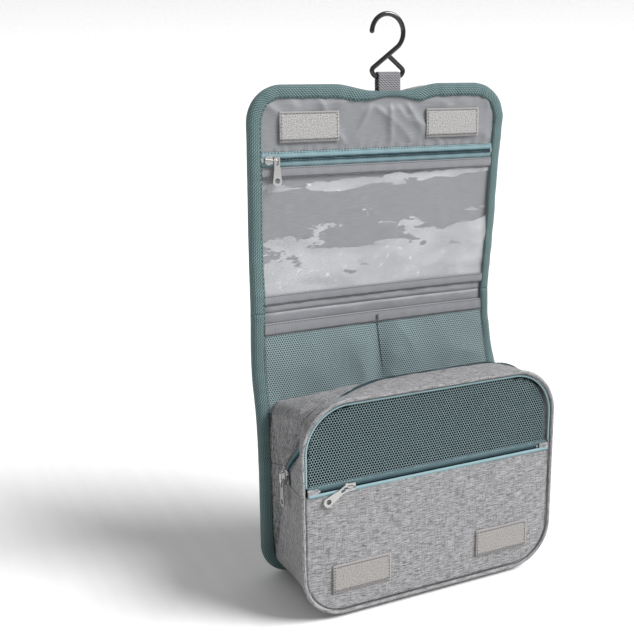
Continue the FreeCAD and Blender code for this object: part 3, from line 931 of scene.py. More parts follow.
@dataclass(frozen=True)
class Film(Finish):
    """Clear soft film with painted reflections of the lamps in pale patches."""

    def detail(self, g: Graph, shader: bpy.types.Node) -> None:
        """Adds painted reflections in pale patches, painted glints and the film's clearness.

        Args:
            g: the material's graph.
            shader: its Principled node.
        """
        split = g.node("ShaderNodeSeparateXYZ")
        g.put(split.inputs[0], g.cloth())
        tilted = g.math("SUBTRACT", split.outputs[1], g.math("MULTIPLY", split.outputs[0], 0.04))
        edge = g.math("SUBTRACT", g.noise(g.cloth((0.5, 1.5, 1)), 0.045, 7, 0.62), 0.5)
        # Bands and a ragged edge that place the painted reflections on the film as pale patches.
        reflection_lobes = None
        for middle, reach, weight in ((269.0, 18.0, 0.85), (336.0, 8.0, 0.55), (325.0, 16.0, -0.3)):
            away = g.math("ABSOLUTE", g.math("DIVIDE", g.math("SUBTRACT", tilted, middle), reach))
            lobe = g.math("MULTIPLY", g.math("SUBTRACT", 1.0, away), weight)
            reflection_lobes = lobe if reflection_lobes is None else g.math("MAXIMUM", reflection_lobes, lobe)
        patch = g.ramp(g.math("ADD", reflection_lobes, g.math("MULTIPLY", edge, 2.9)), 0.36, 0.40)
        # Painted glints, and the strength of the painted reflection inside the patches.
        glints = g.ramp(g.noise(g.cloth(), 0.16, 5, 0.75), 0.60, 0.63)
        reflection_tone = g.ramp(g.noise(g.cloth((0.4, 1, 1)), 0.05, 2), 0.35, 0.65)
        base = g.math("ADD", g.math("MULTIPLY", reflection_tone, 0.07), 0.085)
        gloss = g.math("ADD", g.math("MULTIPLY", glints, 0.16), base)
        g.put(shader.inputs["Alpha"], g.math("ADD", g.math("MULTIPLY", gloss, patch), 0.012, clamp=True))
        self.bump(g, shader, g.noise(g.cloth((0.6, 1.4, 1)), 0.05, 3), 1.2, 0.4)


@dataclass(frozen=True)
class Metal(Finish):
    """Plated zinc with fine drag lines."""

    def detail(self, g: Graph, shader: bpy.types.Node) -> None:
        """Adds the drag lines.

        Args:
            g: the material's graph.
            shader: its Principled node.
        """
        place = g.node("ShaderNodeTexCoord")
        scratch = g.noise(place.outputs["Object"], 900, 4, 0.6)
        g.put(shader.inputs["Roughness"],
              g.math("ADD", g.math("MULTIPLY", scratch, 0.3), self.roughness - 0.1))
        g.put(shader.inputs["Base Color"], g.mix(scratch, self.tint, self.tone(0.75)))
        self.bump(g, shader, scratch, 0.03, 0.4)


class Look:
    """Every finish on the bag."""

    HEATHER = Heather("heather cloth", (0.215, 0.213, 0.218), roughness=0.9, sheen=0.1, specular=0.2)
    LINING = Taffeta("grey lining", (0.215, 0.222, 0.236), roughness=0.48, sheen=0.15, specular=0.4)
    # painted shade: the grey lining behind the pouch's front, made near black as the shade inside the pouch
    INNER = Taffeta("inner lining painted as shade", (0.010, 0.012, 0.014), roughness=0.95, specular=0.05)
    # painted shade: the lining behind the net pocket, darkened as the shade in the pocket
    SHADED = Taffeta("lining painted as shade in the net pocket", (0.05, 0.06, 0.065), roughness=0.7)
    BINDING = Webbing("teal binding", (0.108, 0.172, 0.175), roughness=0.9, sheen=0.1, pitch=2.6,
                      contrast=0.9, depth=0.35)
    TAB = Webbing("grey webbing", (0.19, 0.19, 0.20), roughness=0.9, pitch=2.8, slant=1.2, contrast=0.95)
    BAND = Webbing("grey band", (0.22, 0.225, 0.24), roughness=0.8, pitch=0.9, slant=0.5, depth=0.12)
    TAPE = Webbing("zip tape", (0.19, 0.30, 0.33), roughness=0.75, pitch=0.8, slant=0.0,
                   depth=0.1, contrast=0.3)
    # the trim's own colour; on the front zip's lower tape it is a lit copy of the tape, painted light on its
    # fold
    TRIM = Webbing("teal trim", (0.23, 0.35, 0.38), roughness=0.8, pitch=0.8, slant=0.0,
                   depth=0.1, contrast=0.3)
    # painted shade: the front zip's upper tape, darkened as the shade beside the lower tape's fold
    SHADE_TAPE = Webbing("zip tape painted in shade", (0.075, 0.13, 0.145), roughness=0.8, pitch=0.8, slant=0.0,
                         depth=0.1)
    TEETH = Finish("zip teeth", (0.04, 0.085, 0.105), roughness=0.45)
    NET = Finish("teal net", (0.30, 0.42, 0.44), roughness=0.7, sheen=0.2)
    POCKET_NET = Finish("pocket net", (0.30, 0.40, 0.415), roughness=0.75, sheen=0.2)
    FILM = Film("clear film", (0.92, 0.93, 0.94), roughness=0.12, specular=0.15)
    LOOP = Pile("loop pile", (0.41, 0.405, 0.40), roughness=0.95, sheen=0.2, grain=1.0)
    SELVEDGE = Webbing("fastener edge", (0.30, 0.29, 0.286), roughness=0.9, pitch=0.7, slant=0.3, depth=0.08)
    HOOK_PILE = Pile("hook pile", (0.35, 0.333, 0.322), roughness=0.9, grain=1.1)
    THREAD = Finish("grey thread", (0.08, 0.08, 0.088), roughness=0.8)
    TEAL_THREAD = Finish("teal thread", (0.03, 0.06, 0.065), roughness=0.8)
    METAL = Metal("bright metal", (0.62, 0.62, 0.61), roughness=0.17, metallic=1.0)
    BLACK = Finish("black coating", (0.008, 0.008, 0.009), roughness=0.22, specular=0.5, coat=0.4)
    FLOOR = Finish("pale floor", (0.90, 0.90, 0.90), roughness=1.0, specular=0.0)


# ---------------------------------------------------------------- repeated detail by Geometry Nodes
class GeometryTree:
    """A Geometry Nodes tree with named inputs, baked into a mesh for each use."""

    def __init__(self, name: str, inputs: Iterable[tuple[str, str]]) -> None:
        """Opens the tree.

        Args:
            name: the tree's name.
            inputs: name and socket kind of each input after the geometry.
        """
        self.tree = bpy.data.node_groups.new(name, "GeometryNodeTree")
        face = self.tree.interface
        face.new_socket("Geometry", in_out="INPUT", socket_type="NodeSocketGeometry")
        self.keys = {label: face.new_socket(label, in_out="INPUT", socket_type=f"NodeSocket{kind}").identifier
                     for label, kind in inputs}
        face.new_socket("Geometry", in_out="OUTPUT", socket_type="NodeSocketGeometry")
        self.graph = Graph(self.tree)
        self.source = self.graph.node("NodeGroupInput")
        self.out = self.graph.node("NodeGroupOutput")

    def close(self, geometry: bpy.types.NodeSocket) -> None:
        """Ends the tree with Realize Instances and Set Material.

        Args:
            geometry: what has been built.
        """
        real = self.graph.node("GeometryNodeRealizeInstances")
        paint = self.graph.node("GeometryNodeSetMaterial")
        self.graph.put(real.inputs[0], geometry)
        self.graph.put(paint.inputs["Geometry"], real.outputs[0])
        self.graph.put(paint.inputs["Material"], self.source.outputs["Material"])
        self.graph.put(self.out.inputs[0], paint.outputs[0])

    def bake(self, obj: bpy.types.Object, **values: object) -> bpy.types.Object:
        """Runs the tree on an object and keeps the result as its mesh.

        Args:
            obj: carries the input geometry.
            values: the named inputs.

        Returns:
            The same object with its new mesh.
        """
        modifier = obj.modifiers.new("detail", "NODES")
        modifier.node_group = self.tree
        for label, value in values.items():
            modifier[self.keys[label]] = value
        obj.update_tag()
        graph = bpy.context.evaluated_depsgraph_get()
        mesh = bpy.data.meshes.new_from_object(obj.evaluated_get(graph), depsgraph=graph)
        obj.modifiers.clear()
        obj.data = mesh
        return obj


class BeadTree(GeometryTree):
    """Even beads along a path: stitches, zip coils and the like."""

    def __init__(self) -> None:
        """Builds the tree."""
        super().__init__("beads along path", (("Pitch", "Float"), ("Size", "Vector"), ("Across", "Vector"),
                                              ("Material", "Material")))
        g = self.graph
        curve = g.node("GeometryNodeMeshToCurve")
        g.put(curve.inputs[0], self.source.outputs["Geometry"])
        points = g.node("GeometryNodeResampleCurve", mode="LENGTH")
        g.put(points.inputs["Curve"], curve.outputs[0])
        g.put(points.inputs["Length"], self.source.outputs["Pitch"])
        bead = g.node("GeometryNodeMeshUVSphere")
        bead.inputs["Segments"].default_value = 8
        bead.inputs["Rings"].default_value = 5
        bead.inputs["Radius"].default_value = 0.5
        tangent = g.node("GeometryNodeInputTangent")
        turn = g.node("FunctionNodeAxesToRotation", primary_axis="X", secondary_axis="Y")
        g.put(turn.inputs[0], tangent.outputs[0])
        g.put(turn.inputs[1], self.source.outputs["Across"])
        place = g.node("GeometryNodeInstanceOnPoints")
        g.put(place.inputs["Points"], points.outputs[0])
        g.put(place.inputs["Instance"], bead.outputs["Mesh"])
        g.put(place.inputs["Rotation"], turn.outputs[0])
        g.put(place.inputs["Scale"], self.source.outputs["Size"])
        self.close(place.outputs[0])


class NetTree(GeometryTree):
    """Turns a sheet of triangles into six-sided net cells with holes."""

    def __init__(self) -> None:
        """Builds the tree."""
        super().__init__("net cells", (("Opening", "Float"), ("Material", "Material")))
        g = self.graph
        dual = g.node("GeometryNodeDualMesh")
        g.put(dual.inputs[0], self.source.outputs["Geometry"])
        pull = g.node("GeometryNodeExtrudeMesh", mode="FACES")
        g.put(pull.inputs["Mesh"], dual.outputs[0])
        pull.inputs["Offset Scale"].default_value = 0.0
        pull.inputs["Individual"].default_value = True
        shrink = g.node("GeometryNodeScaleElements", domain="FACE")
        g.put(shrink.inputs["Geometry"], pull.outputs["Mesh"])
        g.put(shrink.inputs["Selection"], pull.outputs["Top"])
        g.put(shrink.inputs["Scale"], self.source.outputs["Opening"])
        cut = g.node("GeometryNodeDeleteGeometry", domain="FACE")
        g.put(cut.inputs["Geometry"], shrink.outputs[0])
        g.put(cut.inputs["Selection"], pull.outputs["Top"])
        self.close(cut.outputs[0])


# ---------------------------------------------------------------- the bag
@dataclass
class Maker:
    """Puts finished pieces in the scene and keeps the shared trees."""

    beads: BeadTree = field(default_factory=BeadTree)
    net: NetTree = field(default_factory=NetTree)

    def finish(self, obj: bpy.types.Object, look: Finish, hold: Hold, slot: str,
               nodes: Sequence[str] = ()) -> bpy.types.Object:
        """Paints a piece, hides the part nodes that it stands for and hands it to its body.

        Args:
            obj: the piece.
            look: its finish.
            hold: what it moves with.
            slot: the record's material slot; not used.
            nodes: part nodes that it stands for.

        Returns:
            The piece.
        """
        obj.data.materials.clear()
        obj.data.materials.append(look.material())
        hold.attach(obj)
        if nodes:
            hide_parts(*nodes)
        return obj

    def along(self, name: str, path: np.ndarray, pitch: float, size: Sequence[float], across: Sequence[float],
              look: Finish, hold: Hold, slot: str, nodes: Sequence[str] = ()) -> bpy.types.Object:
        """Runs beads along a path.

        Args:
            name: piece name.
            path: bag coordinates.
            pitch: spacing in millimetres.
            size: length, width and height of a bead.
            across: direction of a bead's width.
            look: its finish.
            hold: what it moves with.
            slot: the record's material slot.
            nodes: part nodes that it stands for.

        Returns:
            The piece.
        """
        obj = mesh_object(name, np.asarray(path, float), [])
        obj.data.clear_geometry()
        placed = (np.asarray(path, float) + np.array([MIDDLE, 0.0, BASE])) / 1000
        obj.data.from_pydata(placed.tolist(), [(k, k + 1) for k in range(len(path) - 1)], [])
        self.beads.bake(obj, Pitch=pitch / 1000, Size=[s / 1000 for s in size], Across=across,
                        Material=look.material())
        obj.data.polygons.foreach_set("use_smooth", [True] * len(obj.data.polygons))
        return self.finish(obj, look, hold, slot, nodes)

    def stitches(self, name: str, path: np.ndarray, hold: Hold, slot: str, look: Finish = Look.THREAD,
                 pitch: float = 3.4, across: Sequence[float] = (0, 0, 1)) -> bpy.types.Object:
        """Runs a line of stitches along a path.

        Args:
            name: piece name.
            path: bag coordinates.
            hold: what it moves with.
            slot: the record's material slot.
            look: the thread.
            pitch: stitch spacing.
            across: sideways direction.

        Returns:
            The piece.
        """
        return self.along(name, path, pitch, (pitch * 0.66, 0.55, 0.5), across, look, hold, slot)


@dataclass
class Hook:
    """Wire hook and the webbing tab round its bar."""

    maker: Maker
    wire: float = 4.0
    bow: float = 14.5

    def build(self) -> None:
        """Makes the hook and its tab."""
        end = math.radians(-54)
        leave = np.array([self.bow * math.cos(end), self.bow * math.sin(end)])
        along = np.array([math.sin(end), -math.cos(end)])
        shoulder = leave + along * ((leave[0] + 16) / -along[0])
        join = leave + along * ((leave[0] - 0.2) / -along[0])
        turn = np.radians(np.linspace(184, -54, 60))
        bow = np.stack([self.bow * np.cos(turn), self.bow * np.sin(turn)], axis=1)
        shank = self.bent([leave, shoulder, (-12, -34.4), (12, -34.4), (15.5, -30.3), join], (3.5, 3, 3, 3.5))
        path = resample(np.concatenate([bow, shank[1:]]), 0.7)
        inward = sideways(path, 1)
        ring = np.radians(np.arange(0, 360, 15))
        profile = np.stack([np.cos(ring), np.sin(ring)], axis=1) * self.wire / 2

        def rounded(line: np.ndarray, section: np.ndarray) -> np.ndarray:
            """Rounds off the free end of the wire.

            Args:
                line: path points.
                section: the wire's section.

            Returns:
                The section at each point.
            """
            start = run_length(line)[:, None, None]
            share = np.sqrt(np.clip(1 - (1 - np.clip(start / 1.6, 0, 1)) ** 2, 0.02, 1))
            return section[None] * share

        skin = sweep("hook_wire", path + np.array([TAB_U, BOW_H]), inward, profile, rounded)
        self.maker.finish(skin.build(), Look.BLACK, ON_HOOK, "black_wire", ["hook"])
        self.tab()

    @staticmethod
    def bent(points: Sequence[Sequence[float]], radii: Sequence[float]) -> np.ndarray:
        """Rounds the corners of a polyline.

        Args:
            points: its corners.
            radii: radius at each inner corner.

        Returns:
            Points along the rounded line.
        """
        knots = [np.asarray(p, float) for p in points]
        line = [knots[0]]
        for before, point, after, radius in zip(knots, knots[1:], knots[2:], radii):
            u, v = before - point, after - point
            u, v = u / np.linalg.norm(u), v / np.linalg.norm(v)
            half = math.acos(float(np.clip(u @ v, -1, 1))) / 2
            reach = radius / math.tan(half)
            for t in np.linspace(0, 1, 9):
                a, b = point + u * reach * (1 - t), point + v * reach * t
                line.append(a + (b - a) * t)
        return np.array(line + [knots[-1]])

    def tab(self) -> None:
        """Webbing over the bar and down under the binding, back and front."""
        inner, thick = self.wire / 2 + 0.35, 1.2
        turn = np.radians(np.linspace(180, 0, 25))
        foot = PANEL_HEIGHT - DIP - 2
        legs = np.linspace(foot, BAR_H, 8, endpoint=False)
        side = inner + thick
        front = np.stack([np.full(8, -side), legs], axis=1)
        arch = np.stack([side * np.cos(turn), BAR_H + side * np.sin(turn)], axis=1)
        line = np.concatenate([front, arch, front[::-1] * np.array([-1, 1])])
        across = np.linspace(TAB_U - TAB_HALF, TAB_U + TAB_HALF, 22)
        points = np.stack(np.broadcast_arrays(across[None], line[:, :1], line[:, 1:]), axis=-1).astype(float)
        points[..., 1] += 0.25 * ripple(points[..., 0], points[..., 2], 7, 3.1)
        uv = np.stack(np.broadcast_arrays(across[None], run_length(line)[:, None]), axis=-1)
        skin = Skin("hanging_tab_cloth", points, uv, thickness=thick)
        self.maker.finish(skin.build(), Look.TAB, ON_FLAP, "tab_webbing", ["hanging_tab"])


@dataclass
class Panel:
    """The folding panel: shell, lining, binding, zip, window and net pocket."""

    maker: Maker

    def build(self) -> None:
        """Makes every piece of the panel."""
        self.layers()
        self.binding()
        self.header()
        self.zip_line()
        self.window()
        self.net_pocket()
        self.patches()

    @staticmethod
    def outline_grid(low: float, high: float, inset: float, step: float) -> tuple[np.ndarray, np.ndarray]:
        """Grid inside the panel's outline.

        Args:
            low: lowest height.
            high: highest height, or more than the panel's for its top edge.
            inset: distance from the edge.
            step: spacing.

        Returns:
            The u and h grids.
        """
        bottom = max(low, inset)
        top = min(high, PANEL_HEIGHT - inset)
        up = np.linspace(bottom, top, int((top - bottom) / step) + 1)
        across = np.linspace(-1, 1, int(2 * PANEL_HALF / step) + 1)
        half = half_width(up, PANEL_HALF - inset, inset, PANEL_HEIGHT - inset, BOTTOM_RADIUS, TOP_RADIUS)
        u = across[None] * half[:, None]
        h = np.repeat(up[:, None], len(across), axis=1)
        if high > PANEL_HEIGHT - DIP:
            share = ease((h - (PANEL_HEIGHT - 60)) / 60)
            h = h + (top_height(u) - PANEL_HEIGHT) * share
        return u, h

    def layers(self) -> None:
        """Back shell and front lining, each in two lengths that meet across the bridge."""
        parts = (("upper", SPLIT, ABOVE_ALL, OVER_UPPER_FOLD, ("flap", "bridge")),
                 ("lower", 0.0, SPLIT, OVER_LOWER_FOLD, ("back",)))
        for label, low, high, hold, folds in parts:
            u, h = self.outline_grid(low, high, 1.6, 3.0)
            back = 2.0 + 0.45 * ripple(u, h, 46, 5.0) + 0.25 * ripple(u, h, 14, 6.0)
            points = warp(flat_grid(u[:, ::-1], h, back))
            skin = Skin(f"shell_{label}", points, np.stack([u, h], -1), thickness=3.4)
            nodes = [f"{kind}_{fold}" for fold in folds for kind in ("outer_shell", "foam_board")]
            shell = self.maker.finish(skin.build(), Look.HEATHER, hold, "heather_cloth", nodes)
            front = -2.0 + self.slack(u, h)
            skin = flat_skin(f"lining_{label}", u, h, front, 0.4, slack=True)
            self.maker.finish(skin.build(), Look.LINING, hold, "grey_lining",
                              [f"lining_{fold}" for fold in folds])

    @staticmethod
    def slack(u: np.ndarray, h: np.ndarray) -> np.ndarray:
        """Relief of the lining.

        Args:
            u: across.
            h: height.

        Returns:
            Depth to add.
        """
        strip = np.exp(-((h - 232.5) / 8.5) ** 4) * ease((PANEL_HALF - 8 - np.abs(u)) / 10)
        return (-0.35 * (1 - np.abs(ripple(u, h, 60, 8.0, 3))) ** 4 - 0.2 * ripple(u, h, 18, 9.0)
                - strip * (1.7 + 0.9 * ripple(u, h * 2, 24, 10.0)))

    def binding(self) -> None:
        """Bound edge in two lengths, with its line of stitches."""
        profile = np.array([(11, -3.5), (10.2, -4.5), (7.5, -5.0), (4, -5.1), (1.4, -4.5), (0.1, -2.6),
                            (-0.2, -0.4), (0.1, 1.6), (1.4, 3.3), (4, 3.9), (7.5, 3.8), (10.2, 3.4),
                            (11, 2.5),
                            (8.5, 2.2), (2.0, 1.8), (2.0, -2.6), (8.5, -3.0)])

        def plump(line: np.ndarray, section: np.ndarray) -> np.ndarray:
            """Varies the binding's width and depth, narrower at the tab and at the folds.

            Args:
                line: path points.
                section: the binding's section.

            Returns:
                The section at each point.
            """
            near = ease(1 - (np.abs(line[:, 0] - TAB_U) - 6) / 26) * (line[:, 1] > PANEL_HEIGHT - 20)
            width = 1 - 0.5 * near + 0.07 * ripple(line[:, 0], line[:, 1], 14, 2.0)
            folds = sum(np.exp(-((line[:, 1] - fold) / 5) ** 2) for fold in (UPPER_FOLD, LOWER_FOLD))
            depth = 1 + 0.16 * ripple(line[:, 0], line[:, 1], 9, 4.0) - 0.12 * folds
            return section[None] * np.stack([width, depth], axis=1)[:, None]

        outline = {"upper": rounded_path(PANEL_HALF, 0, PANEL_HEIGHT, BOTTOM_RADIUS, TOP_RADIUS, 2.2,
                                         SPLIT, SPLIT)}
        flipped = rounded_path(PANEL_HALF, 0, PANEL_HEIGHT, TOP_RADIUS, BOTTOM_RADIUS, 2.2,
                               PANEL_HEIGHT - SPLIT, PANEL_HEIGHT - SPLIT)
        outline["lower"] = np.stack([flipped[:, 0], PANEL_HEIGHT - flipped[:, 1]], axis=1)
        turns = {"upper": (1, OVER_UPPER_FOLD, ["binding_flap"]),
                 "lower": (-1, OVER_LOWER_FOLD, ["binding_back", "binding_bridge"])}
        for label, path in outline.items():
            turn, hold, nodes = turns[label]
            if label == "upper":
                share = ease((path[:, 1] - (PANEL_HEIGHT - 30)) / 30)
                path[:, 1] += (top_height(path[:, 0]) - PANEL_HEIGHT) * share
            inward = sideways(path, turn)
            skin = sweep(f"binding_{label}", path, inward, profile if turn > 0 else profile[::-1], plump)
            skin.points = warp(skin.points)
            self.maker.finish(skin.build(), Look.BINDING, hold, "teal_webbing", nodes)
            seam = sweep("", path, inward, np.array([(9.6, -4.75)]), plump).points[:, 0]
            self.maker.stitches(f"binding_stitches_{label}", warp(seam), hold, "teal_webbing",
                                Look.TEAL_THREAD, pitch=3.6, across=(0, 1, 0))

    def header(self) -> None:
        """Lining above the zip, drawn into folds by the tab."""
        low = ZIP_H + TAPE_HALF - 1.5
        u, h = self.outline_grid(low, ABOVE_ALL, 2.5, 1.6)
        reach = np.hypot(u - TAB_U, h - PANEL_HEIGHT + 4)
        angle = np.arctan2(u - TAB_U, PANEL_HEIGHT - h + 6)
        rays = np.abs(np.sin(angle * 5.2 + 0.6 * ripple(u, h, 50, 1.0)))
        folds = 2.6 * (1 - rays) ** 2.2 * np.exp(-((reach - 16) / 40) ** 2)
        creases = 1.8 * (1 - np.abs(ripple(u + h * 0.5, h * 0.35, 30, 12.0, 1))) ** 9
        pucker = np.sin(u / 1.5 + 3.0 * ripple(u, h, 16, 7.0)) * np.exp(-(h - low) / 6.0) * 0.5
        top = np.sin(u / 2.6 + 2.0 * ripple(u, h, 22, 17.0)) * np.exp(-(top_height(u) - 12 - h) / 5) * 0.3
        edge = ease((PANEL_HALF - 10 - np.abs(u)) / 10) * ease((top_height(u) - 9 - h) / 8)
        relief = (folds + creases) * edge * ease((h - low - 2) / 8)
        y = -3.3 - relief + (pucker + np.clip(top, -0.4, 0.4)) * edge
        skin = flat_skin("header_cloth", u, h, y, 0.3, slack=True)
        self.maker.finish(skin.build(), Look.LINING, ON_FLAP, "grey_lining", ["header_panel"])
        seam = warp(line_points(-INNER_HALF, INNER_HALF, low + 1.6, -3.75))
        self.maker.stitches("header_stitches", seam, ON_FLAP, "grey_lining", pitch=2.8)

    def zip_line(self) -> None:
        """Tapes, coil and stitching of the window's zip."""
        for side, name in ((1, "flap_zip_tape_upper"), (-1, "flap_zip_tape_lower")):
            near, far = ZIP_H + side * 0.35, ZIP_H + side * TAPE_HALF
            u, h = box_grid(-INNER_HALF - 1, INNER_HALF + 1, min(near, far), max(near, far), 1.9)
            away = np.abs(h - ZIP_H)
            y = -3.9 - 1.0 * np.exp(-((away - 1.2) / 1.6) ** 2) + 0.16 * np.sin(u / 3.1 + side)
            skin = flat_skin(f"{name}_cloth", u, h, y, 0.5, slack=True)
            self.maker.finish(skin.build(), Look.TAPE, ON_FLAP, "zip_tape", [name])
            seam = line_points(-INNER_HALF, INNER_HALF, ZIP_H + side * (TAPE_HALF - 0.9), -4.1)
            self.maker.stitches(f"{name}_stitches", warp(seam), ON_FLAP, "zip_tape", pitch=2.8)
            coil = line_points(-INNER_HALF + COIL_START, INNER_HALF - COIL_START,
                               ZIP_H + side * COIL_GAP, -4.7)
            self.maker.along(f"flap_coil_{'upper' if side > 0 else 'lower'}", coil, COIL_PITCH,
                             (0.85, 1.5, 1.5), (0, 0, 1), Look.TEETH, ON_FLAP, "zip_coil",
                             ["flap_zip_coils"] if side > 0 else [])

    def window(self) -> None:
        """Clear film and the two bands that hold it."""
        top = ZIP_H - TAPE_HALF - 2
        u, h = box_grid(-PANEL_HALF + 3, PANEL_HALF - 3, WINDOW_FOOT - 5, top, 2.2)
        belly = np.sin(np.pi * np.clip((h - WINDOW_FOOT) / (top - WINDOW_FOOT), 0, 1))
        y = -3.4 - 2.0 * belly * (1 - (u / PANEL_HALF) ** 4) - 0.5 * belly * ripple(u * 0.5, h, 24, 21.0, 3)
        skin = flat_skin("window_film", u, h, y, 0.25, slack=True)
        film = self.maker.finish(skin.build(), Look.FILM, OVER_UPPER_FOLD, "clear_film",
                                 ["window_film_flap", "window_film_bridge"])
        film.visible_shadow = False
        for name, low, hold in (("window_band_top", ZIP_H - TAPE_HALF - BAND, ON_FLAP),
                                ("window_band_bottom", WINDOW_FOOT - BAND, ON_BRIDGE)):
            self.band(name, low, BAND, hold, edge=0.9)

    def band(self, name: str, low: float, height: float, hold: Hold, edge: float) -> None:
        """A cloth band with stitches near both edges.

        Args:
            name: the node it stands for.
            low: its bottom edge.
            height: its height.
            hold: what it moves with.
            edge: distance of the stitches from its edges.
        """
        u, h = box_grid(-INNER_HALF - 1, INNER_HALF + 1, low, low + height, 1.6)
        share = (h - low) / height
        gather = 0.22 * np.sin(u / 2.4 + 2 * ripple(u, h, 26, low)) * (1 - share)
        y = -4.3 - 0.5 * np.sin(np.pi * share) + gather
        skin = flat_skin(f"{name}_cloth", u, h, y, 0.6, slack=True)
        self.maker.finish(skin.build(), Look.BAND, hold, "grey_band", [name])
        for k, at in enumerate((low + edge, low + height - edge)):
            seam = warp(line_points(-INNER_HALF, INNER_HALF, at, -4.75))
            self.maker.stitches(f"{name}_stitches_{k}", seam, hold, "grey_band", pitch=2.9)

    def net_pocket(self) -> None:
        """Net pocket behind the pouch's top, its hem, centre seam and tack."""
        low, high = 146.0, HEM_H + 2

        def depth(u: np.ndarray, h: np.ndarray) -> np.ndarray:
            """Depth of the net.

            Args:
                u: across.
                h: height.

            Returns:
                The depth.
            """
            share = np.clip((h - low) / (high - low), 0, 1)
            seam = 1 - np.exp(-((u + 4) / 9) ** 2)
            drape = 2.4 * np.sin(np.pi * share) * seam
            folds = 1.6 * (1 - np.abs(ripple((u + h) * 0.9, (h - u) * 0.45, 40, 31.0, 1))) ** 3
            return -3.2 - drape * (1 - (u / PANEL_HALF) ** 6) - folds * seam

        u, h = box_grid(-INNER_HALF - 2, INNER_HALF + 2, low, high, 3.0)
        # pocket_back: a dark sheet in front of the lining, painted shade inside the net pocket
        skin = flat_skin("pocket_back", u, h, np.full_like(u, -2.75), 0.2, slack=True)
        self.maker.finish(skin.build(), Look.SHADED, OVER_LOWER_FOLD, "grey_lining")
        base = net_sheet("pocket_net", -INNER_HALF - 2, INNER_HALF + 2, low, high, 2.1, depth)
        base = self.maker.net.bake(base, Opening=0.70, Material=Look.POCKET_NET.material())
        self.maker.finish(base, Look.POCKET_NET, OVER_LOWER_FOLD, "teal_net", ["mesh_pocket"])
        self.band("mesh_pocket_hem", HEM_H, HEM, ON_BRIDGE, edge=1.1)
        seam = np.array([(-5.5 + 9.0 * t, -3.7, HEM_H - (HEM_H - low) * t) for t in np.linspace(0, 1, 30)])
        self.maker.along("pocket_seam", warp(seam), 1.3, (1.5, 0.7, 0.7), (1, 0, 0), Look.TEAL_THREAD,
                         OVER_LOWER_FOLD, "teal_net")
        tack = np.array([(-6.0 + 1.2 * math.sin(k * 1.9), -5.3, HEM_H + 2.2 + 0.42 * k) for k in range(12)])
        self.maker.along("pocket_tack", warp(tack), 0.7, (1.5, 0.6, 0.6), (0, 0, 1), Look.THREAD, ON_BRIDGE,
                         "grey_band", ["mesh_pocket_tack"])

    def patches(self) -> None:
        """Loop patches on the flap and hook patches on the pouch."""
        for label, side in (("left", -1), ("right", 1)):
            touch_patch(self.maker, f"loop_patch_{label}", side * PATCH_U, LOOP_PATCH_H, -5.2, Look.LOOP,
                        ON_FLAP, "loop_pile")
            touch_patch(self.maker, f"hook_patch_{label}", side * PATCH_U, HOOK_PATCH_H, POUCH_FRONT - 1.7,
                        Look.HOOK_PILE, ON_POUCH, "hook_pile")


def line_points(u0: float, u1: float, h: float, y: float) -> np.ndarray:
    """Straight level path.

    Args:
        u0: left end.
        u1: right end.
        h: height.
        y: depth.

    Returns:
        Bag coordinates.
    """
    across = np.linspace(u0, u1, 60)
    return np.stack([across, np.full(60, y), np.full(60, h)], axis=1)


def touch_patch(maker: Maker, name: str, u0: float, h0: float, y: float, look: Finish, hold: Hold,
                slot: str) -> None:
    """One rectangle of touch fastener: woven edge, raised pile and a box of stitches.

    Args:
        maker: puts pieces in the scene.
        name: the node it stands for.
        u0: centre across.
        h0: centre height.
        y: depth of its woven edge.
        look: finish of its pile.
        hold: what it moves with.
        slot: the record's material slot.
    """
    wide, tall = PATCH_SIZE[0] / 2, PATCH_SIZE[1] / 2
    for suffix, inset, lift, finish in (("edge", 0.0, 0.0, Look.SELVEDGE), ("pile", 2.3, 0.45, look)):
        u, h = box_grid(u0 - wide, u0 + wide, h0 - tall + inset, h0 + tall - inset, 1.1)
        rough = 0.22 * ripple(u, h, 2.2, u0) if suffix == "pile" else 0.1 * ripple(u, h, 9, h0)
        skin = flat_skin(f"{name}_{suffix}", u, h, y - lift + rough, 0.7)
        maker.finish(skin.build(), finish, hold, slot, [name] if suffix == "edge" else [])
    a, b = wide - 1.7, tall - 1.6
    corners = [(-a, -b), (a, -b), (a, b), (-a, b), (-a, -b)]
    path = resample(np.array([(u0 + p, y - 0.62, h0 + q) for p, q in corners]), 1.0)
    maker.stitches(f"{name}_stitches", path, hold, slot, pitch=2.6, across=(0, 1, 0))


def net_sheet(name: str, u0: float, u1: float, low: float, high: float, pitch: float,
              depth: Callable[[np.ndarray, np.ndarray], np.ndarray],
              half: Callable[[np.ndarray], np.ndarray] | None = None) -> bpy.types.Object:
    """Sheet of even triangles for the net tree.

    Args:
        name: piece name.
        u0: left edge.
        u1: right edge.
        low: bottom edge.
        high: top edge.
        pitch: cell spacing.
        depth: depth at each point.
        half: half width at a height, or None for straight sides.

    Returns:
        The sheet.
    """
    up = np.arange(low, high, pitch * ROW_RATIO)
    count = int((u1 - u0) / pitch) + 1
    u = u0 + np.arange(count)[None] * pitch + (np.arange(len(up))[:, None] % 2) * pitch / 2
    h = np.repeat(up[:, None], count, axis=1)
    faces = []
    for r in range(len(up) - 1):
        for c in range(count - 1):
            a, b, d, e = r * count + c, r * count + c + 1, (r + 1) * count + c, (r + 1) * count + c + 1
            faces += [(a, b, d), (b, e, d)] if r % 2 == 0 else [(a, b, e), (a, e, d)]
    if half is not None:
        limit = np.ravel(half(h))
        inside = np.abs(np.ravel(u)) <= limit
        faces = [f for f in faces if all(inside[k] for k in f)]
    points = flat_grid(u, h, depth(u, h))
    if half is None:
        points = warp(points)
    used = sorted({k for f in faces for k in f})
    renumber = {k: i for i, k in enumerate(used)}
    return mesh_object(name, points.reshape(-1, 3)[used], [[renumber[k] for k in f] for f in faces])


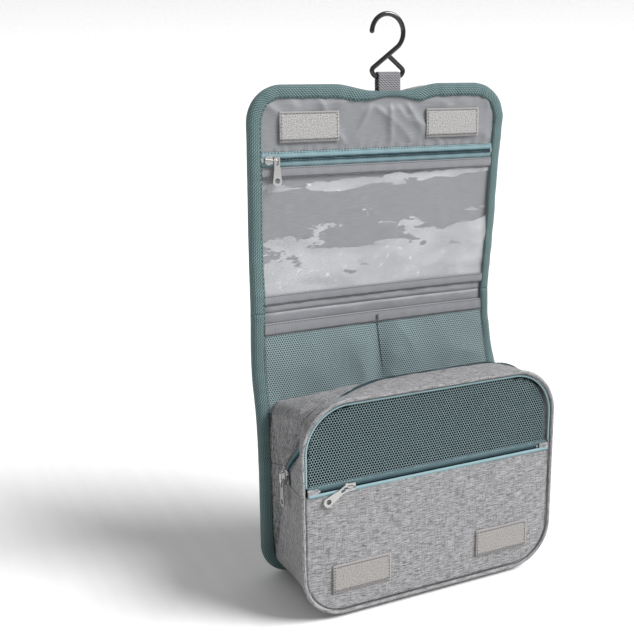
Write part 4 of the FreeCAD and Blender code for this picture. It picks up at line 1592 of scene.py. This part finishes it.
@dataclass
class Pouch:
    """The box pouch: front, gusset, zips, piping and linings."""

    maker: Maker

    def build(self) -> None:
        """Makes every piece of the pouch."""
        self.front()
        self.front_net()
        self.front_zip()
        self.gusset()
        self.piping()

    @staticmethod
    def half(h: np.ndarray, inset: float = 0.0) -> np.ndarray:
        """Half width of the front at a height.

        Args:
            h: heights.
            inset: distance in from the seam.

        Returns:
            Half widths.
        """
        return half_width(h, POUCH_HALF - inset, POUCH_LOW + inset, POUCH_TOP - inset,
                          POUCH_R_LOW - inset, POUCH_R_TOP - inset)

    def front(self) -> None:
        """Heather cloth up to the front zip, and the linings behind the front, painted near black as the
        shade inside the pouch.
        """
        for name, inset, y0, top, look, slot, nodes, thick in (
                ("front_cloth", 0.3, POUCH_FRONT, FRONT_ZIP_H - 2.2, Look.HEATHER, "heather_cloth",
                 ["front_panel", "front_panel_lip"], 0.8),
                # front_backing: the lining painted near black as shade, seen through the net
                ("front_backing", 3.0, POUCH_FRONT + 5.0, POUCH_TOP - 3.0, Look.INNER, "grey_lining",
                 ["front_lining_lower", "front_lining_upper"], 0.4)):
            up = np.linspace(POUCH_LOW + inset, top, int((top - POUCH_LOW) / 2.2) + 1)
            across = np.linspace(-1, 1, 106)
            u = across[None] * self.half(up, inset)[:, None]
            h = np.repeat(up[:, None], len(across), axis=1)
            edge = np.clip((self.half(h, inset) - np.abs(u)) / 22, 0, 1)
            relief = -1.0 * ease(edge) + 0.55 * ripple(u, h, 42, 41.0, 3)
            y = y0 + relief * np.clip((h - POUCH_LOW) / 20, 0, 1)
            skin = flat_skin(name, u, h, y, thick)
            self.maker.finish(skin.build(), look, OVER_LID_BEND, slot, nodes)

    def front_net(self) -> None:
        """Net above the front zip and the light trim round it."""
        low = FRONT_ZIP_H + 3.0

        def depth(u: np.ndarray, h: np.ndarray) -> np.ndarray:
            """Depth of the net.

            Args:
                u: across.
                h: height.

            Returns:
                The depth.
            """
            share = np.sin(np.pi * np.clip((h - low) / (POUCH_TOP - low), 0, 1))
            return POUCH_FRONT + 0.5 + 1.3 * share - 1.1 * share * ripple(u, h, 36, 51.0, 3)

        sheet = net_sheet("front_net", -POUCH_HALF + 2, POUCH_HALF - 2, low, POUCH_TOP - 1.5, 2.3, depth,
                          lambda h: self.half(h, 2.0))
        sheet = self.maker.net.bake(sheet, Opening=0.88, Material=Look.NET.material())
        self.maker.finish(sheet, Look.NET, ON_LID, "teal_net", ["front_mesh"])
        path = rounded_path(POUCH_HALF, POUCH_LOW, POUCH_TOP, POUCH_R_LOW, POUCH_R_TOP, 2.5, low + 2, low + 2)
        profile = np.array([(0.2, -90.3), (1.1, -90.5), (2.1, -90.2), (2.1, -89.7), (0.2, -89.8)])
        skin = sweep("net_trim", path, sideways(path, 1), profile)
        self.maker.finish(skin.build(), Look.TRIM, ON_LID, "teal_webbing", ["front_mesh_trim"])

    def front_zip(self) -> None:
        """Tapes, coil and end tabs of the front zip."""
        reach = FRONT_ZIP_HALF + 8.5
        # The upper tape is painted shade; the lower tape takes the lighter trim colour as painted light on
        # its fold.
        for side, name, y0, width, look in ((1, "front_zip_tape_upper", -89.4, 5.0, Look.SHADE_TAPE),
                                            (-1, "front_zip_tape_lower", -90.9, 3.6, Look.TRIM)):
            near, far = FRONT_ZIP_H + side * 0.35, FRONT_ZIP_H + side * width
            u, h = box_grid(-reach, reach, min(near, far), max(near, far), 1.2)
            away = np.abs(h - FRONT_ZIP_H)
            y = y0 - (0.5 - 0.4 * side) * np.exp(-((away - 1.6) / 1.5) ** 2) + 0.2 * ripple(u, h, 12, side)
            skin = flat_skin(f"{name}_cloth", u, h, y, 0.5)
            self.maker.finish(skin.build(), look, ON_LID, "zip_tape", [name])
            coil = line_points(-FRONT_ZIP_HALF + COIL_START, FRONT_ZIP_HALF - COIL_START,
                               FRONT_ZIP_H + side * COIL_GAP, -90.4)
            self.maker.along(f"front_coil_{'upper' if side > 0 else 'lower'}", coil, COIL_PITCH,
                             (0.85, 1.4, 1.3), (0, 0, 1), Look.TEETH, ON_LID, "zip_coil",
                             ["front_zip_coils"] if side > 0 else [])
        for label, side in (("left", -1), ("right", 1)):
            near, far = sorted((side * FRONT_ZIP_HALF, side * (FRONT_ZIP_HALF + ZIP_END_LENGTH)))
            u, h = box_grid(near, far, FRONT_ZIP_H - ZIP_END_HALF, FRONT_ZIP_H + ZIP_END_HALF, 1.0)
            lump = np.sin(np.pi * np.clip((h - FRONT_ZIP_H + ZIP_END_HALF) / (2 * ZIP_END_HALF), 0, 1))
            y = -90.6 - 0.9 * lump + 0.5 * ripple(u, h, 4, side)
            skin = flat_skin(f"zip_end_{label}", u, h, y, 0.7)
            self.maker.finish(skin.build(), Look.HEATHER, ON_LID, "heather_cloth")

    # -- gusset
    def ring(self, share: np.ndarray, depth: np.ndarray, arch: bool, inset: float = 0.0) -> np.ndarray:
        """Point on the gusset.

        Args:
            share: 0 to 1 from the left cross seam to the right one.
            depth: y of the point.
            arch: over the top, or round the bottom.
            inset: distance inside the outer cloth.

        Returns:
            Bag coordinates.
        """
        back = np.clip((depth - POUCH_FRONT) / (POUCH_BACK - POUCH_FRONT), 0, 1)
        layers = []
        for half, low, top, r_low, r_top in (FRONT_SIDE, PANEL_SIDE):
            half, low, top = half - inset, low + inset, top - inset
            if arch:
                path = rounded_path(half, low, top, r_low, r_top, 1.0, GUSSET_SEAM, GUSSET_SEAM)
            else:
                seam = top - GUSSET_SEAM
                path = rounded_path(half, 0, top - low, r_top, r_low, 1.0, seam, seam)
                path = np.stack([path[:, 0], top - path[:, 1]], axis=1)
            want = np.linspace(0, 1, len(path))
            layers.append([np.interp(share, want, path[:, k]) for k in range(2)])
        u, h = (layers[0][k] * (1 - back) + layers[1][k] * back for k in range(2))
        swell = np.sin(np.pi * back)
        outward = np.stack([u / POUCH_HALF, np.zeros_like(u), (h - 92) / 86], axis=-1)
        outward[..., 0] = np.sign(outward[..., 0]) * np.abs(outward[..., 0]) ** 4
        outward[..., 2] = np.sign(outward[..., 2]) * np.abs(outward[..., 2]) ** 4
        outward /= np.maximum(np.linalg.norm(outward, axis=-1, keepdims=True), 1e-6)
        creases = (1 - np.abs(ripple(share * 330 + depth * 0.6, depth * 1.3, 34, 61.0 + arch, 2))) ** 6
        amount = swell * (0.7 * ripple(share * 330, depth, 26, 63.0, 2) - 1.2 * creases)
        amount += 9.5 * swell * ease((h - 140) / 25)
        amount += 2.0 * swell * ease((u - 90) / 15) * ease((140 - h) / 30)
        edge = spline(h, CREASE)
        left = ease((-u - 88) / 12)
        behind = np.clip((depth - edge) / (POUCH_BACK + 1 - edge), 0, 1)
        hollow = (1 - np.abs(2 * behind - 1) ** 1.6) * ease((158 - h) / 12) * ease((h - 10) / 16)
        amount -= 11.0 * left * hollow
        if arch:
            fold = self.zip_depth(share)
            rise = np.clip((depth + 82) / (fold + 82), 0, 1)
            fall = np.clip((edge + 2 - depth) / (edge + 2 - fold), 0, 1)
            slope = np.where(depth < fold, rise ** 1.5, fall ** 1.2)
            amount -= np.clip(spline(share, VALLEY), 0, None) * slope
        return np.stack([u, depth, h], axis=-1) + outward * amount[..., None]

    @staticmethod
    def zip_depth(share: np.ndarray) -> np.ndarray:
        """Depth of the gusset's zip along the arch.

        Args:
            share: 0 to 1 from the left seam to the right seam.

        Returns:
            The depth.
        """
        return spline(share, ZIP_PATH)

    def strip(self, name: str, near: Callable[[np.ndarray], np.ndarray],
              far: Callable[[np.ndarray], np.ndarray], arch: bool, inset: float, thickness: float,
              count: int) -> Skin:
        """A strip of the gusset between two depths.

        Args:
            name: piece name.
            near: depth of the front edge along the strip.
            far: depth of the rear edge.
            arch: over the top, or round the bottom.
            inset: distance inside the outer cloth.
            thickness: of the cloth.
            count: rows of points across the strip.

        Returns:
            The skin.
        """
        share = np.linspace(0, 1, 260)
        t = np.linspace(0, 1, count)[:, None]
        depth = near(share)[None] * (1 - t) + far(share)[None] * t
        grid = np.broadcast_to(share[None], depth.shape)
        points = self.ring(grid, depth, arch, inset)
        if not arch:
            points, depth, grid = points[:, ::-1], depth[:, ::-1], grid[:, ::-1]
        uv = np.stack([grid * 380, depth], axis=-1)
        return Skin(name, points, uv, thickness=thickness)

    def gusset(self) -> None:
        """Side, top and bottom walls with the main zip between them."""
        front, back = (lambda s: np.full_like(s, POUCH_FRONT + 0.4)), (lambda s: np.full_like(s, POUCH_BACK))

        def beside(gap: float) -> Callable[[np.ndarray], np.ndarray]:
            """Depth of a line beside the zip.

            Args:
                gap: distance from the zip, positive towards the panel.

            Returns:
                The depth along the strip.
            """
            return lambda s: self.zip_depth(s) + gap

        rows = (
            ("gusset_front_cloth", front, beside(-4.8), True, 0.0, 0.8, 20, Look.HEATHER,
             LID_GUSSET, "heather_cloth", ["gusset_front"]),
            ("gusset_rear_cloth", beside(4.8), back, True, 0.0, 0.8, 34, Look.HEATHER,
             ON_POUCH, "heather_cloth", ["gusset_rear"]),
            ("gusset_lower_cloth", front, back, False, 0.0, 0.8, 34, Look.HEATHER, ON_POUCH, "heather_cloth",
             ["gusset_bottom"]),
            ("gusset_lower_lining", lambda s: front(s) + 2, back, False, 1.4, 0.4, 26, Look.LINING, ON_POUCH,
             "grey_lining", ["gusset_lining"]),
            ("gusset_tape_front_cloth", beside(-7), beside(-0.4), True, 0.6, 0.5, 5, Look.TAPE, LID_GUSSET,
             "zip_tape", ["gusset_tape_front"]),
            ("gusset_tape_rear_cloth", beside(0.4), beside(7), True, 0.6, 0.5, 5, Look.TAPE, ON_POUCH,
             "zip_tape", ["gusset_tape_rear"]),
        )
        for name, near, far, arch, inset, thick, count, look, hold, slot, nodes in rows:
            skin = self.strip(name, near, far, arch, inset, thick, count)
            self.maker.finish(skin.build(), look, hold, slot, nodes)
        share = np.linspace(0.03, 0.995, 300)
        for label, side, hold in (("front", -1, LID_GUSSET), ("rear", 1, ON_POUCH)):
            path = self.ring(share, self.zip_depth(share) + side * COIL_GAP, True, -0.3)
            self.maker.along(f"gusset_coil_{label}_teeth", path, 1.25, (0.9, 1.5, 1.4), (0, 1, 0), Look.TEETH,
                             hold, "zip_coil", [f"gusset_coil_{label}"])
            seam = self.ring(share, self.zip_depth(share) + side * 6.0, True, -0.15)
            self.maker.stitches(f"gusset_stitches_{label}", seam, hold, "heather_cloth", pitch=3.0,
                                across=(0, 1, 0))
        for label, at in (("left", 0.0), ("right", 1.0)):
            depth = np.linspace(POUCH_FRONT + 2, POUCH_BACK - 1, 60)
            path = self.ring(np.full(60, at), depth, True, -0.2)
            self.maker.stitches(f"cross_seam_{label}", path, ON_POUCH, "heather_cloth", pitch=2.2)

    def piping(self) -> None:
        """Covered cord round the front seam, and the dark seam line beside it."""
        r = 1.75
        out = r + 0.1
        path = rounded_path(POUCH_HALF + out, POUCH_LOW - out, POUCH_TOP + out, POUCH_R_LOW + out,
                            POUCH_R_TOP + out, 2.0, 60.0)
        ring = np.radians(np.arange(0, 360, 30))
        profile = np.stack([r * np.cos(ring), POUCH_FRONT - 0.2 + r * np.sin(ring)], axis=1)
        skin = sweep("piping_cord", path, sideways(path, 1), profile)
        self.maker.finish(skin.build(), Look.HEATHER, OVER_LID_BEND, "heather_piping",
                          ["piping_lower", "piping_upper"])
        inner = rounded_path(POUCH_HALF - 0.2, POUCH_LOW + 0.2, POUCH_TOP - 0.2, POUCH_R_LOW, POUCH_R_TOP,
                             2.0, 60.0)
        groove = np.stack([inner[:, 0], np.full(len(inner), POUCH_FRONT - 0.75), inner[:, 1]], axis=1)
        self.maker.stitches("piping_seam", groove, OVER_LID_BEND, "heather_piping", pitch=1.9,
                            across=(0, 1, 0))


# ---------------------------------------------------------------- studio
@dataclass(frozen=True)
class Studio:
    """Camera, floor and light."""

    place: tuple[float, float, float] = (-379.4, -687.8, 404.0)
    yaw: float = 0.4338
    pitch: float = 0.2331
    roll: float = -0.0158
    lens: float = 52.7
    surround: float = 0.36
    sun: float = 4.6
    softness: float = 30.0
    direction: tuple[float, float, float] = (-0.66, 0.56, -0.74)

    def camera(self) -> None:
        """Sets the camera at the bag's usual viewing angle."""
        ahead = Vector((math.sin(self.yaw) * math.cos(self.pitch), math.cos(self.yaw) * math.cos(self.pitch),
                        -math.sin(self.pitch)))
        right = Vector((math.cos(self.yaw), -math.sin(self.yaw), 0))
        up = right.cross(ahead)
        c, s = math.cos(self.roll), math.sin(self.roll)
        side, top = right * c + up * s, up * c - right * s
        data = bpy.data.cameras.new("camera")
        data.lens = self.lens
        data.sensor_width = 36
        cam = bpy.data.objects.new("camera", data)
        turn = Matrix((side, top, -ahead)).transposed().to_4x4()
        cam.matrix_world = Matrix.Translation(row(self.place)) @ turn
        bpy.context.scene.collection.objects.link(cam)
        bpy.context.scene.camera = cam

    def floor(self) -> None:
        """Lays the pale floor just below the bag; it sweeps up into a backdrop far behind."""
        size, reach, radius = 5000.0, 2600.0, 900.0
        turn = np.linspace(0, math.pi / 2, 24)
        ahead = np.concatenate([[-size], reach + radius * np.sin(turn), [reach + radius]])
        up = np.concatenate([[0], radius * (1 - np.cos(turn)), [radius + 3000]]) - 1.0
        yaw = self.yaw
        points = np.array([(a * math.sin(yaw) + b * math.cos(yaw), a * math.cos(yaw) - b * math.sin(yaw), h)
                           for a, h in zip(ahead, up) for b in (-size, size)])
        faces = [[2 * k, 2 * k + 1, 2 * k + 3, 2 * k + 2] for k in range(len(ahead) - 1)]
        plane = mesh_object("floor", points, faces)
        plane.data.materials.append(Look.FLOOR.material())

    def lights(self) -> None:
        """Broad soft light from the upper right and a white surround."""
        world = bpy.data.worlds.new("surround")
        bpy.context.scene.world = world
        world.use_nodes = True
        world.node_tree.nodes["Background"].inputs["Color"].default_value = (1, 1, 1, 1)
        world.node_tree.nodes["Background"].inputs["Strength"].default_value = self.surround
        data = bpy.data.lights.new("key", "SUN")
        data.energy = self.sun
        data.angle = math.radians(self.softness)
        lamp = bpy.data.objects.new("key", data)
        lamp.rotation_euler = Vector(self.direction).to_track_quat("-Z", "Y").to_euler()
        bpy.context.scene.collection.objects.link(lamp)
        bpy.context.scene.view_settings.view_transform = "Standard"

    def build(self) -> None:
        """Makes the studio."""
        self.camera()
        self.floor()
        self.lights()


def paint_metal() -> None:
    """Gives the sliders, pulls and stops their plating."""
    for name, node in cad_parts.items():
        if name.endswith(("slider", "pull", "stops")):
            node.data.materials.clear()
            node.data.materials.append(Look.METAL.material())


def main() -> None:
    """Builds the bag in order."""
    logging.basicConfig(level=logging.INFO, format="%(message)s")
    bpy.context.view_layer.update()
    maker = Maker()
    for label, make in (("hook", Hook(maker).build), ("panel", Panel(maker).build),
                        ("pouch", Pouch(maker).build), ("metal", paint_metal), ("studio", Studio().build)):
        make()


if __name__ == "__main__":
    main()
